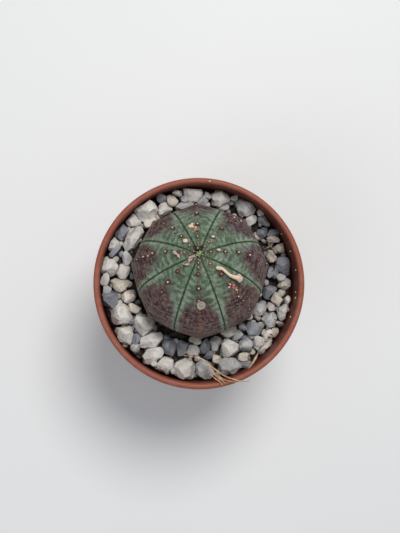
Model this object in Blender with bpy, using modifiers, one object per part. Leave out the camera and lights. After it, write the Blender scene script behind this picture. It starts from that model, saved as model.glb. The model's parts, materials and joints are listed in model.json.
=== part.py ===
"""A globular eight-ribbed euphorbia in a thin turned nursery pot, top-dressed with angular gravel.

The origin is the centre of the pot's underside. +Z is up, and -Y is the side the plant leans away from.
"""

import math
from itertools import combinations

import bmesh
import bpy
import numpy as np
from mathutils import Matrix, Vector

MM = 0.001

# Pot: a turned shell with a beaded lip, a wide collar, a tapering body and a foot ring.
RIM_RADIUS = 42.5 * MM
POT_HEIGHT = 74.0 * MM
LIP_WIDTH = 2.4 * MM
LIP_OVERHANG = 0.9 * MM
LIP_TUCK = 0.1 * MM
LIP_SKIRT_SHARE = 1.1
LIP_DEPTH_SHARE = 1.3
COLLAR_HEIGHT = 15.0 * MM
COLLAR_STEP = 1.2 * MM
COLLAR_STEP_DROP = 1.4 * MM
DRAFT = 0.3 * MM
DRAFT_INSIDE = 0.4 * MM
WALL = 1.0 * MM
FOOT_RADIUS = 30.5 * MM
FOOT_RING_WIDTH = 1.8 * MM
FOOT_CORNER = 0.4 * MM
FLOOR_RISE = 2.3 * MM
FLOOR_THICKNESS = 1.2 * MM
CENTRE_HOLE_RADIUS = 4.5 * MM
DRAIN_HOLES = 6
DRAIN_HOLE_RADIUS = 3.5 * MM
DRAIN_CIRCLE_SHARE = 0.57
FOOT_NOTCHES = 4
FOOT_NOTCH_RADIUS = 1.5 * MM
POT_STEPS = 60

# Clearance between pieces that touch in the real thing.
GAP = 0.3 * MM

# Soil: fills the pot up to a slope that is higher on the -X side.
SOIL_DROP = 12.5 * MM
SOIL_SLOPE = -0.064
SOIL_CLEARANCE = 1.5 * GAP
ROOT_CLEARANCE = 1.3 * GAP

# Euphorbia: two half ellipsoids on a leaning axis, with hollow-cheeked ribs, drawn in to a tapered root.
BODY_RADIUS = 27.6 * MM
CROWN_HEIGHT = 22.0 * MM
BELLY_DEPTH = 25.0 * MM
BODY_OFFSET = 5.0 * MM
EQUATOR_DROP = 2.0 * MM
LEAN = math.radians(14.5)
LEAN_BEARING = math.radians(110.0)
RIB_DEPTH = 1.25 * MM
CHEEK_HOLLOW = 0.55 * MM
RIB_FADE_POLAR = 45.0
CROWN_DIMPLE = 0.8 * MM
DIMPLE_POLAR = 9.0
NECK_POLAR = 150.0
ROOT_LENGTH = 24.0 * MM
ROOT_TAPER = 1.4
RIB_CRESTS = (3.0, 50.0, 92.5, 134.0, 175.0, 222.0, 270.0, 316.0)
RIB_GROOVES = (22.0, 69.0, 115.5, 156.0, 201.0, 247.0, 292.0, 338.0)
STEPS_A_RIB = 6
BODY_RINGS = 26

# Gravel: each stone's bearing in degrees, its share of the way from plant to wall, its length and width in
# millimetres, the turn of its length from +X in degrees, and its tone.
STONE_THICKNESS_SHARE = 0.82
STONE_MIN_THICKNESS = 4.6 * MM
STONE_GAP = 0.2 * MM
STONE_FACETS = 15
STONE_FACET_REACH = (0.96, 1.14)
STONE_FACET_SPREAD = 0.22
STONE_TILT = 0.16
STONE_CORNER_MERGE = 0.06 * MM
WALL_BEARINGS = (-0.24, -0.12, 0.0, 0.12, 0.24)
STONE_REACH = 16.0 * MM
STONES = (
    (95, 0.80, 10.0, 7.9, -20, "pale"),
    (87, 0.36, 5.3, 4.8, 60, "grey"),
    (75, 0.71, 8.9, 7.5, 35, "pale"),
    (58, 0.77, 9.7, 7.5, -20, "grey"),
    (51, 0.45, 5.3, 4.8, 80, "pale"),
    (43, 0.88, 6.5, 4.8, -25, "grey"),
    (39, 0.52, 5.3, 4.8, 40, "slate"),
    (23, 0.85, 4.6, 4.0, -45, "cream"),
    (20, 0.48, 5.9, 3.3, -60, "cream"),
    (13, 0.80, 9.1, 6.1, -55, "slate"),
    (0, 0.76, 5.6, 3.9, -10, "cream"),
    (354, 0.39, 6.9, 5.3, 30, "slate"),
    (350, 0.60, 6.7, 5.3, -50, "cream"),
    (338, 0.30, 7.5, 4.8, 65, "grey"),
    (343, 0.90, 7.5, 5.0, 55, "pale"),
    (334, 0.64, 7.5, 6.1, -35, "grey"),
    (322, 0.42, 6.7, 5.7, -50, "slate"),
    (324, 0.79, 5.0, 3.9, 55, "pale"),
    (317, 0.92, 5.4, 4.9, 30, "pale"),
    (316, 0.74, 6.3, 5.0, 60, "pale"),
    (308, 0.59, 7.2, 5.7, 80, "grey"),
    (295, 0.45, 8.5, 7.9, -30, "pale"),
    (306, 0.31, 6.7, 3.8, 20, "grey"),
    (303, 0.16, 6.9, 4.0, 25, "cream"),
    (290, 0.77, 11.7, 7.1, -12, "grey"),
    (286, 0.27, 7.5, 4.0, 62, "grey"),
    (276, 0.27, 5.7, 4.0, 70, "slate"),
    (274, 0.77, 8.9, 6.7, -40, "grey"),
    (265, 0.33, 5.2, 4.6, 20, "pale"),
    (268, 0.15, 6.5, 3.4, -15, "cream"),
    (256, 0.31, 7.6, 4.0, 70, "slate"),
    (245, 0.37, 9.1, 4.8, -75, "slate"),
    (261, 0.79, 9.5, 8.7, -40, "pale"),
    (248, 0.76, 8.3, 5.7, 15, "pale"),
    (237, 0.70, 8.8, 6.9, 35, "pale"),
    (230, 0.45, 9.3, 7.3, 35, "pale"),
    (215, 0.78, 8.5, 7.7, 50, "pale"),
    (217, 0.27, 9.4, 7.9, -55, "pale"),
    (202, 0.61, 8.8, 7.7, 25, "pale"),
    (190, 0.77, 7.5, 6.7, 60, "slate"),
    (190, 0.29, 6.8, 5.3, -10, "cream"),
    (181, 0.42, 7.9, 5.3, -25, "cream"),
    (172, 0.34, 8.2, 5.3, 65, "pale"),
    (170, 0.74, 6.9, 6.5, 0, "pale"),
    (155, 0.90, 7.2, 5.7, 80, "pale"),
    (147, 0.76, 6.7, 6.3, 45, "slate"),
    (146, 0.29, 10.9, 8.1, 55, "pale"),
    (137, 0.73, 6.2, 5.6, 0, "pale"),
    (126, 0.67, 9.7, 8.9, 40, "pale"),
    (115, 0.28, 7.2, 6.1, 70, "pale"),
)

# Dried flower stalks lying on the ribs: polar angle, bearing and radius in millimetres at each point.
STALKS = {
    "long_dried_stalk": (
        (18.0, 321.0, 0.55),
        (22.6, 326.5, 0.45),
        (26.0, 325.5, 0.45),
        (30.0, 325.2, 0.50),
        (34.0, 327.2, 0.75),
        (37.5, 328.5, 0.95),
    ),
    "curled_dried_stalk": (
        (3.6, 225.0, 0.50),
        (6.9, 214.3, 0.55),
        (10.1, 222.1, 0.60),
        (13.1, 221.6, 0.45),
        (15.2, 220.3, 0.40),
    ),
    "short_dried_stalk": (
        (20.2, 176.2, 0.60),
        (18.0, 182.3, 0.45),
        (16.1, 191.8, 0.55),
    ),
}
STALK_RISE = {"long_dried_stalk": 1.2 * MM, "curled_dried_stalk": 0.5 * MM, "short_dried_stalk": 0.2 * MM}

# Straws lying on the gravel and over the lip: bearing and distance from the axis as a share of the rim's.
STRAW_RADIUS = 0.24 * MM
STRAW_MARGIN = 3.0 * MM
STRAWS = {
    "long_straw": ((263, 0.70), (272, 0.72), (279, 0.81), (286, 0.91), (290, 0.97), (293, 1.01), (297, 1.035)),
    "short_straw": ((276, 0.86), (279, 0.91), (281.5, 0.95), (282, 0.985)),
}

# Colour, roughness and metallic value of each finish.
FINISHES = {
    "terracotta_plastic": ((0.38, 0.115, 0.070), 0.45, 0.0),
    "soil": ((0.030, 0.020, 0.014), 0.95, 0.0),
    "euphorbia_skin": ((0.115, 0.190, 0.110), 0.62, 0.0),
    "dried_stalk": ((0.620, 0.430, 0.310), 0.80, 0.0),
    "straw": ((0.450, 0.270, 0.120), 0.75, 0.0),
    "pale": ((0.560, 0.520, 0.450), 0.85, 0.0),
    "cream": ((0.470, 0.410, 0.320), 0.85, 0.0),
    "grey": ((0.340, 0.335, 0.330), 0.85, 0.0),
    "slate": ((0.150, 0.160, 0.195), 0.82, 0.0),
}

BODY_CENTRE = Vector((0.0, BODY_OFFSET, POT_HEIGHT - EQUATOR_DROP))
SOIL_LEVEL = POT_HEIGHT - SOIL_DROP
CAVITY_FLOOR = FLOOR_RISE + FLOOR_THICKNESS


def clear_scene():
    """Remove whatever the file opened with."""
    for obj in list(bpy.data.objects):
        bpy.data.objects.remove(obj, do_unlink=True)


def new_collection(name):
    """A named collection in the scene."""
    collection = bpy.data.collections.new(name)
    bpy.context.scene.collection.children.link(collection)
    return collection


def make_finish(name):
    """A plain Principled material."""
    colour, roughness, metallic = FINISHES[name]
    material = bpy.data.materials.new(name)
    material.use_nodes = True
    shader = material.node_tree.nodes["Principled BSDF"]
    shader.inputs["Base Color"].default_value = (*colour, 1.0)
    shader.inputs["Roughness"].default_value = roughness
    shader.inputs["Metallic"].default_value = metallic
    material.diffuse_color = (*colour, 1.0)
    return material


def add_object(name, data, collection, material=None):
    """Put a mesh or curve into the scene as a named object."""
    obj = bpy.data.objects.new(name, data)
    collection.objects.link(obj)
    if material:
        data.materials.append(material)
    return obj


def mesh_from(name, bm, smooth=True):
    """Turn a bmesh into a mesh, smooth except across sharp edges."""
    mesh = bpy.data.meshes.new(name)
    bm.to_mesh(mesh)
    bm.free()
    if smooth:
        mesh.shade_smooth()
        mesh.set_sharp_from_angle(angle=math.radians(35.0))
    return mesh


# Pot


def inner_profile():
    """The cavity's wall as (radius, height) from the lip down to the floor."""
    top = RIM_RADIUS - LIP_WIDTH
    shoulder = RIM_RADIUS - LIP_OVERHANG - WALL - COLLAR_STEP
    shoulder_height = POT_HEIGHT - COLLAR_HEIGHT
    return (
        (top, POT_HEIGHT - LIP_WIDTH / 2),
        (top - DRAFT_INSIDE, shoulder_height),
        (shoulder - DRAFT, shoulder_height - COLLAR_STEP_DROP),
        (FOOT_RADIUS - WALL, CAVITY_FLOOR),
    )


def cavity_radius(height):
    """The cavity's radius at a height."""
    rows = inner_profile()[::-1]
    return float(np.interp(height, [row[1] for row in rows], [row[0] for row in rows]))


def pot_profile():
    """The pot's whole section, from the lip's inner edge over the top, down the outside and back up the inside."""
    bead = LIP_WIDTH / 2
    bead_centre = (RIM_RADIUS - bead, POT_HEIGHT - bead)
    points = []
    for step in range(7):
        angle = math.pi * (1.0 - step / 6)
        points.append((bead_centre[0] + bead * math.cos(angle), bead_centre[1] + bead * math.sin(angle)))
    collar = RIM_RADIUS - LIP_OVERHANG
    collar_bottom = POT_HEIGHT - COLLAR_HEIGHT
    body_top = collar - COLLAR_STEP
    points += [
        (RIM_RADIUS - LIP_TUCK, POT_HEIGHT - LIP_SKIRT_SHARE * LIP_WIDTH),
        (collar, POT_HEIGHT - LIP_DEPTH_SHARE * LIP_WIDTH),
        (collar - DRAFT, collar_bottom),
        (body_top, collar_bottom - COLLAR_STEP_DROP),
        (FOOT_RADIUS, 2 * FOOT_CORNER),
        (FOOT_RADIUS - FOOT_CORNER, 0.0),
        (FOOT_RADIUS - FOOT_RING_WIDTH, 0.0),
        (FOOT_RADIUS - FOOT_RING_WIDTH - DRAFT, FLOOR_RISE),
        (CENTRE_HOLE_RADIUS, FLOOR_RISE),
        (CENTRE_HOLE_RADIUS, CAVITY_FLOOR),
    ]
    points += list(inner_profile()[::-1])[:-1]
    return points


def turned_mesh(name, profile, closed):
    """A profile in the XZ plane as a mesh of edges, ready for a Screw modifier."""
    bm = bmesh.new()
    verts = [bm.verts.new((radius, 0.0, height)) for radius, height in profile]
    for first, second in zip(verts, verts[1:]):
        bm.edges.new((first, second))
    if closed:
        bm.edges.new((verts[-1], verts[0]))
    return mesh_from(name, bm, smooth=False)


def add_screw(obj):
    """Turn the object's profile through a full circle about Z."""
    screw = obj.modifiers.new("Turn", "SCREW")
    screw.steps = POT_STEPS
    screw.render_steps = POT_STEPS
    screw.use_merge_vertices = True
    screw.merge_threshold = 0.00001
    screw.use_smooth_shade = True


def add_cut(obj, cutter):
    """Take one solid away from another."""
    cut = obj.modifiers.new("Cut " + cutter.name, "BOOLEAN")
    cut.operation = "DIFFERENCE"
    cut.solver = "EXACT"
    cut.object = cutter


def add_cutter(name, mesh, cutters):
    """A hidden solid used only to cut others."""
    cutter = add_object(name, mesh, cutters)
    cutter.hide_render = True
    cutter.display_type = "WIRE"
    return cutter


def cylinder_mesh(name, radius, depth):
    """A capped cylinder along Z, centred."""
    bm = bmesh.new()
    bmesh.ops.create_cone(bm, cap_ends=True, segments=16, radius1=radius, radius2=radius, depth=depth)
    return mesh_from(name, bm)


def build_pot(collection, cutters, finish):
    """The thin plastic pot with its drainage holes and foot notches."""
    pot = add_object("pot", turned_mesh("pot", pot_profile(), closed=True), collection, finish)
    add_screw(pot)
    drain_circle = FOOT_RADIUS * DRAIN_CIRCLE_SHARE
    for index in range(DRAIN_HOLES):
        angle = 2 * math.pi * (index + 0.5) / DRAIN_HOLES
        mesh = cylinder_mesh("drain", DRAIN_HOLE_RADIUS, 4 * CAVITY_FLOOR)
        hole = add_cutter(f"drain_cutter_{index + 1}", mesh, cutters)
        hole.location = (drain_circle * math.cos(angle), drain_circle * math.sin(angle), 0.0)
        add_cut(pot, hole)
    for index in range(FOOT_NOTCHES):
        angle = 2 * math.pi * (index + 0.5) / FOOT_NOTCHES
        mesh = cylinder_mesh("notch", FOOT_NOTCH_RADIUS, 6 * FOOT_RING_WIDTH)
        notch = add_cutter(f"notch_cutter_{index + 1}", mesh, cutters)
        notch.rotation_euler = (0.0, math.pi / 2, angle)
        notch.location = (FOOT_RADIUS * math.cos(angle), FOOT_RADIUS * math.sin(angle), 0.0)
        add_cut(pot, notch)
    return pot


# Euphorbia


def lean_matrix():
    """The turn that carries the upright plant to its lean."""
    axis = Vector((-math.sin(LEAN_BEARING), math.cos(LEAN_BEARING), 0.0))
    return Matrix.Rotation(LEAN, 3, axis)


def smooth_step(value):
    """Ease from 0 to 1 as the value runs from 0 to 1."""
    held = min(max(value, 0.0), 1.0)
    return held * held * (3.0 - 2.0 * held)


def rib_share(bearing):
    """How far a bearing lies from its rib's crest, from 0 on the crest to 1 in the groove."""
    turn = bearing % 360.0
    crest = min(RIB_CRESTS, key=lambda c: abs((turn - c + 180.0) % 360.0 - 180.0))
    offset = (turn - crest + 180.0) % 360.0 - 180.0
    sides = [(groove - crest + 180.0) % 360.0 - 180.0 for groove in RIB_GROOVES]
    if offset >= 0:
        edge = min(side for side in sides if side > 0)
    else:
        edge = max(side for side in sides if side < 0)
    return min(offset / edge, 1.0)


def body_point(polar, bearing, grow=0.0, ribs=True):
    """A point of the plant in its own upright frame, and the smooth envelope's outward normal there."""
    angle = math.radians(polar)
    turn = math.radians(bearing)
    height = (CROWN_HEIGHT if polar < 90.0 else BELLY_DEPTH) + grow
    radius = BODY_RADIUS + grow
    around = Vector((math.cos(turn), math.sin(turn), 0.0))
    point = around * radius * math.sin(angle) + Vector((0.0, 0.0, height * math.cos(angle)))
    normal = around * math.sin(angle) / radius + Vector((0.0, 0.0, math.cos(angle) / height))
    normal.normalize()
    if ribs:
        fade = math.sin(angle) ** 0.6 * smooth_step((NECK_POLAR - polar) / RIB_FADE_POLAR)
        share = rib_share(bearing)
        point -= normal * fade * (RIB_DEPTH * share + 4.0 * CHEEK_HOLLOW * share * (1.0 - share))
        point.z -= CROWN_DIMPLE * math.exp(-((polar / DIMPLE_POLAR) ** 2))
    return point, normal


def root_point(share, bearing, grow=0.0):
    """A point of the tapered root, from the neck at share 0 to the tip at share 1."""
    neck, _ = body_point(NECK_POLAR, bearing, grow, ribs=False)
    taper = 1.0 - share**ROOT_TAPER
    return Vector((neck.x * taper, neck.y * taper, neck.z - (ROOT_LENGTH + grow) * share))


def rib_bearing(step):
    """The bearing of one of the evenly shared steps of the ribs, so grooves and crests fall on vertices."""
    half = STEPS_A_RIB // 2
    rib, part = divmod(step, STEPS_A_RIB)
    rib %= len(RIB_CRESTS)
    marks = (RIB_CRESTS[rib], RIB_GROOVES[rib], RIB_CRESTS[(rib + 1) % len(RIB_CRESTS)])
    start, end = (marks[0], marks[1]) if part < half else (marks[1], marks[2])
    span = (end - start) % 360.0
    return start + span * (part % half) / half


def body_mesh(name, grow=0.0, ribs=True):
    """The plant as a sphere reshaped to ribs, belly and root, in its own upright frame."""
    segments = STEPS_A_RIB * len(RIB_CRESTS)
    bm = bmesh.new()
    bmesh.ops.create_uvsphere(bm, u_segments=segments, v_segments=BODY_RINGS, radius=1.0)
    for vert in bm.verts:
        polar = math.degrees(math.acos(max(-1.0, min(1.0, vert.co.z))))
        step = round(math.degrees(math.atan2(vert.co.y, vert.co.x)) % 360.0 * segments / 360.0) % segments
        bearing = rib_bearing(step)
        if polar <= NECK_POLAR:
            vert.co = body_point(polar, bearing, grow, ribs)[0]
        else:
            vert.co = root_point((polar - NECK_POLAR) / (180.0 - NECK_POLAR), bearing, grow)
    return mesh_from(name, bm)


def place_on_lean(obj):
    """Stand a plant-frame object on the plant's own leaning axis."""
    obj.rotation_euler = lean_matrix().to_euler()
    obj.location = BODY_CENTRE


def build_plant(collection, finish):
    """The euphorbia's body and root, one piece."""
    plant = add_object("euphorbia", body_mesh("euphorbia"), collection, finish)
    place_on_lean(plant)
    return plant


# Soil


def soil_height(x):
    """The soil's surface at a place across the pot."""
    return SOIL_LEVEL + SOIL_SLOPE * x


def build_soil(collection, cutters, finish):
    """The soil block: turned to the cavity, cut to its slope and hollowed for the plant's base."""
    brim = SOIL_LEVEL + 1.5 * abs(SOIL_SLOPE) * RIM_RADIUS
    heights = [brim]
    heights += [row[1] for row in inner_profile() if CAVITY_FLOOR < row[1] < brim]
    heights.append(CAVITY_FLOOR + GAP)
    profile = [(0.0, brim)]
    profile += [(cavity_radius(height) - SOIL_CLEARANCE, height) for height in heights]
    profile.append((0.0, CAVITY_FLOOR + GAP))
    soil = add_object("soil", turned_mesh("soil", profile, closed=False), collection, finish)
    add_screw(soil)

    bm = bmesh.new()
    bmesh.ops.create_cube(bm, size=4 * RIM_RADIUS)
    bmesh.ops.translate(bm, verts=bm.verts, vec=(0.0, 0.0, 2 * RIM_RADIUS))
    level = add_cutter("soil_level_cutter", mesh_from("level", bm), cutters)
    level.location = (0.0, 0.0, SOIL_LEVEL)
    level.rotation_euler = (0.0, -math.atan(SOIL_SLOPE), 0.0)
    add_cut(soil, level)

    hollow = add_cutter("root_cutter", body_mesh("root_hollow", ROOT_CLEARANCE, ribs=False), cutters)
    place_on_lean(hollow)
    add_cut(soil, hollow)
    return soil


# Gravel


def envelope_samples():
    """Points and normals over the plant's smooth outer form, in the pot's frame."""
    turn = lean_matrix()
    places = []
    normals = []
    for polar in range(60, 146, 3):
        for bearing in range(0, 360, 4):
            point, normal = body_point(polar, bearing, ribs=False)
            places.append(turn @ point + BODY_CENTRE)
            normals.append(turn @ normal)
    return np.array(places), np.array(normals)


def inside_body(point):
    """Whether a place is within the plant's smooth outer form."""
    local = lean_matrix().transposed() @ (point - BODY_CENTRE)
    height = CROWN_HEIGHT if local.z > 0 else BELLY_DEPTH
    return (local.x**2 + local.y**2) / BODY_RADIUS**2 + local.z**2 / height**2 < 1.0


def flank_distance(bearing, height):
    """How far the plant's flank lies from the pot's axis along a bearing at a height."""
    near = 0.0
    far = RIM_RADIUS
    for _ in range(30):
        middle = (near + far) / 2
        if inside_body(Vector((middle * math.cos(bearing), middle * math.sin(bearing), height))):
            near = middle
        else:
            far = middle
    return near


def stone_shape(stone, rng):
    """A stone's centre, half sizes, axes and facet planes, sitting on the soil and free of its neighbours."""
    bearing_degrees, share, length, width, turn_degrees, _ = stone
    bearing = math.radians(bearing_degrees)
    half = np.array((length * MM / 2, width * MM / 2, 0.0))
    half[2] = max(STONE_THICKNESS_SHARE * width * MM, STONE_MIN_THICKNESS) / 2
    distance = RIM_RADIUS * 0.8
    for _ in range(4):
        height = soil_height(distance * math.cos(bearing)) + half[2] + GAP
        flank = flank_distance(bearing, height)
        wall = cavity_radius(height - half[2])
        distance = flank + (wall - flank) * share
    centre = np.array((distance * math.cos(bearing), distance * math.sin(bearing), height))
    turn = math.radians(turn_degrees)
    pitch = Matrix.Rotation(rng.uniform(-STONE_TILT, STONE_TILT), 3, "X")
    roll = Matrix.Rotation(rng.uniform(-STONE_TILT, STONE_TILT), 3, "Y")
    axes = np.array(Matrix.Rotation(turn, 3, "Z") @ pitch @ roll)
    planes = []
    golden = math.pi * (3.0 - math.sqrt(5.0))
    start = rng.uniform(0.0, 2 * math.pi)
    for index in range(STONE_FACETS):
        rise = 1.0 - 2.0 * (index + 0.5) / STONE_FACETS
        around = start + golden * index
        flat = math.sqrt(1.0 - rise * rise)
        local = np.array((flat * math.cos(around), flat * math.sin(around), rise))
        local += rng.uniform(-STONE_FACET_SPREAD, STONE_FACET_SPREAD, 3)
        local /= np.linalg.norm(local)
        reach = np.linalg.norm(half * local) * rng.uniform(*STONE_FACET_REACH)
        normal = axes @ local
        planes.append((normal, float(normal @ centre + reach)))
    return {"centre": centre, "half": half, "axes": axes, "planes": planes}


def support(shape, normal):
    """How far a stone's ellipsoid reaches from its centre along a direction."""
    return float(np.linalg.norm(shape["half"] * (shape["axes"].T @ normal)))


def neighbour_planes(shape, others):
    """Planes that part a stone from each near neighbour, shared by their reach, with a gap between."""
    planes = []
    for other in others:
        way = other["centre"] - shape["centre"]
        apart = float(np.linalg.norm(way))
        if 0.0 < apart < STONE_REACH:
            normal = way / apart
            own = support(shape, normal)
            share = own / (own + support(other, -normal))
            planes.append((normal, float(normal @ shape["centre"] + apart * share - STONE_GAP / 2)))
    return planes


def bound_planes(shape, samples):
    """Planes that keep a stone off the plant, the pot's wall and the soil."""
    centre = shape["centre"]
    places, normals = samples
    nearest = int(np.argmin(np.linalg.norm(places - centre, axis=1)))
    planes = [(-normals[nearest], float(-normals[nearest] @ places[nearest] - GAP))]
    bottom = soil_height(centre[0]) - abs(SOIL_SLOPE) * shape["half"][0]
    wall = cavity_radius(bottom) * math.cos(math.pi / POT_STEPS) - GAP
    bearing = math.atan2(centre[1], centre[0])
    for side in WALL_BEARINGS:
        normal = np.array((math.cos(bearing + side), math.sin(bearing + side), 0.0))
        planes.append((normal, wall))
    ground = np.array((SOIL_SLOPE, 0.0, -1.0))
    length = float(np.linalg.norm(ground))
    planes.append((ground / length, (-SOIL_LEVEL - GAP) / length))
    return planes


def corners(planes):
    """The corner points of the convex solid inside a set of planes."""
    normals = np.array([plane[0] for plane in planes])
    offsets = np.array([plane[1] for plane in planes])
    triples = np.array(list(combinations(range(len(planes)), 3)))
    systems = normals[triples]
    sound = np.abs(np.linalg.det(systems)) > 1e-4
    points = np.linalg.solve(systems[sound], offsets[triples[sound]][..., None])[..., 0]
    held = np.all(points @ normals.T <= offsets + 1e-9, axis=1)
    return points[held]


def stone_mesh(name, planes):
    """A stone's convex solid as a mesh in the pot's frame."""
    bm = bmesh.new()
    for point in corners(planes):
        bm.verts.new(point)
    bmesh.ops.remove_doubles(bm, verts=bm.verts, dist=STONE_CORNER_MERGE)
    hull = bmesh.ops.convex_hull(bm, input=bm.verts)
    spare = [item for item in hull["geom_interior"] + hull["geom_unused"] if isinstance(item, bmesh.types.BMVert)]
    bmesh.ops.delete(bm, geom=list(set(spare)), context="VERTS")
    bmesh.ops.recalc_face_normals(bm, faces=bm.faces)
    return mesh_from(name, bm)


def build_gravel(collection, finishes):
    """Every stone as its own object, with its origin at its centre."""
    rng = np.random.default_rng(7)
    samples = envelope_samples()
    shapes = [stone_shape(stone, rng) for stone in STONES]
    stones = []
    for index, (stone, shape) in enumerate(zip(STONES, shapes)):
        planes = shape["planes"] + bound_planes(shape, samples)
        planes += neighbour_planes(shape, [other for other in shapes if other is not shape])
        name = f"gravel_{index + 1:02d}"
        mesh = stone_mesh(name, planes)
        centre = Vector(shape["centre"])
        mesh.transform(Matrix.Translation(-centre))
        obj = add_object(name, mesh, collection, finishes[stone[5]])
        obj.location = centre
        stones.append(obj)
    return stones


# Dried stalks and straws


def poly_curve(name, points, radii):
    """A round bar along points, with its ends capped."""
    curve = bpy.data.curves.new(name, "CURVE")
    curve.dimensions = "3D"
    curve.bevel_depth = 1.0
    curve.bevel_resolution = 2
    curve.use_fill_caps = True
    spline = curve.splines.new("POLY")
    spline.points.add(len(points) - 1)
    for target, point, radius in zip(spline.points, points, radii):
        target.co = (*point, 1.0)
        target.radius = radius
    return curve


def build_stalks(collection, finish):
    """The dried flower stalks, each rising from the skin it lies on."""
    for name, rows in STALKS.items():
        points = []
        radii = []
        for index, (polar, bearing, radius) in enumerate(rows):
            skin, normal = body_point(polar, bearing)
            rise = STALK_RISE[name] * index / (len(rows) - 1)
            points.append(skin + normal * (radius * MM + GAP + rise))
            radii.append(radius * MM)
        stalk = add_object(name, poly_curve(name, points, radii), collection, finish)
        place_on_lean(stalk)


def rest_height(place, stones):
    """The top of whatever lies under a place: the lip near the rim, otherwise the nearest stones."""
    distance = math.hypot(place.x, place.y)
    tops = [soil_height(place.x)]
    bead = LIP_WIDTH / 2
    if abs(distance - (RIM_RADIUS - bead)) < bead + STRAW_MARGIN:
        tops.append(POT_HEIGHT)
    for stone in stones:
        reach = max(stone.dimensions.x, stone.dimensions.y) / 2 + STRAW_MARGIN
        if (stone.location - place).to_2d().length < reach:
            tops.append(stone.location.z + max(vert.co.z for vert in stone.data.vertices))
    return max(tops)


def build_straws(collection, finish, stones):
    """The straws, draped from the gravel up over the lip."""
    for name, rows in STRAWS.items():
        places = []
        for bearing, share in rows:
            angle = math.radians(bearing)
            distance = RIM_RADIUS * share
            places.append(Vector((distance * math.cos(angle), distance * math.sin(angle), 0.0)))
        heights = [rest_height(place, stones) + STRAW_RADIUS + GAP for place in places]
        draped = np.maximum.accumulate(heights)
        points = [Vector((place.x, place.y, height)) for place, height in zip(places, draped)]
        add_object(name, poly_curve(name, points, [STRAW_RADIUS] * len(points)), collection, finish)


def main():
    """Build the whole object."""
    clear_scene()
    collection = new_collection("potted_euphorbia")
    cutters = new_collection("cutters")
    finishes = {name: make_finish(name) for name in FINISHES}
    build_pot(collection, cutters, finishes["terracotta_plastic"])
    build_soil(collection, cutters, finishes["soil"])
    build_plant(collection, finishes["euphorbia_skin"])
    stones = build_gravel(collection, finishes)
    bpy.context.view_layer.update()
    build_stalks(collection, finishes["dried_stalk"])
    build_straws(collection, finishes["straw"], stones)


main()
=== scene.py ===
"""The looks of a potted euphorbia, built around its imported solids.

The origin is the centre of the pot's underside, +Z is up, and the plant leans towards +Y.
"""

import json
import math
from contextlib import contextmanager

import bmesh
import bpy
import numpy as np
from mathutils import Matrix, Vector, noise

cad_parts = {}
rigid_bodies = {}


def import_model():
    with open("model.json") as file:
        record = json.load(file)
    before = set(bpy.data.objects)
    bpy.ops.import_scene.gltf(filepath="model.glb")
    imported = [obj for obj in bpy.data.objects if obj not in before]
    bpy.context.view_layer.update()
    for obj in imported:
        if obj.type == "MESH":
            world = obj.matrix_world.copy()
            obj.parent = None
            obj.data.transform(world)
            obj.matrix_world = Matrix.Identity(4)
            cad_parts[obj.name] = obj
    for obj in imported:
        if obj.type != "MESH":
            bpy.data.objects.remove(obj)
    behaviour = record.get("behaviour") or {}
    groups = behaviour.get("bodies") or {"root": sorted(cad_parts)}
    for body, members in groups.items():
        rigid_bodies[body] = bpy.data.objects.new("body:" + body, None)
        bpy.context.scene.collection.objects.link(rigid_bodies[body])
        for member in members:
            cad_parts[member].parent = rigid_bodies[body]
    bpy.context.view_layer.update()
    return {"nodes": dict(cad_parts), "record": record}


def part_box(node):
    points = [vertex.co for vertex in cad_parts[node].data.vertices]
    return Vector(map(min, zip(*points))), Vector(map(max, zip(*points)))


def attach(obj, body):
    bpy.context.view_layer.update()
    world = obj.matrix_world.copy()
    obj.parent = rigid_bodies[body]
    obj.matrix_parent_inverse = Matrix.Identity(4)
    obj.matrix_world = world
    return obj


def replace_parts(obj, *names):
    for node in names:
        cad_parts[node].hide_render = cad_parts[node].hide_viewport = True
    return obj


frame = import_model()

MM = 0.001
RIM_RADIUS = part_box("pot")[1].x
POT_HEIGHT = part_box("pot")[1].z

# Pot
LIP_WIDTH = 2.4 * MM
LIP_OVERHANG = 0.9 * MM
LIP_TUCK = 0.1 * MM
LIP_SKIRT_SHARE = 1.1
LIP_DEPTH_SHARE = 1.3
COLLAR_HEIGHT = 15.0 * MM
COLLAR_STEP = 1.2 * MM
COLLAR_STEP_DROP = 1.4 * MM
DRAFT = 0.3 * MM
DRAFT_INSIDE = 0.4 * MM
WALL = 1.0 * MM
FOOT_RADIUS = 30.5 * MM
FOOT_RING_WIDTH = 1.8 * MM
FOOT_CORNER = 0.4 * MM
FLOOR_RISE = 2.3 * MM
FLOOR_THICKNESS = 1.2 * MM
CENTRE_HOLE_RADIUS = 4.5 * MM
DRAIN_HOLES = 6
DRAIN_HOLE_RADIUS = 3.5 * MM
DRAIN_CIRCLE = FOOT_RADIUS * 0.57
FOOT_NOTCHES = 4
FOOT_NOTCH_RADIUS = 1.5 * MM
POT_STEPS = 180
POT_CORNER = 0.45 * MM
HOLE_SIDES = 40
SHARP_ANGLE = math.radians(40.0)
SLIVER = 0.01 * MM
WELD = 0.001 * MM

# Soil
SOIL_LEVEL = POT_HEIGHT - 12.5 * MM
SOIL_SLOPE = -0.064

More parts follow.
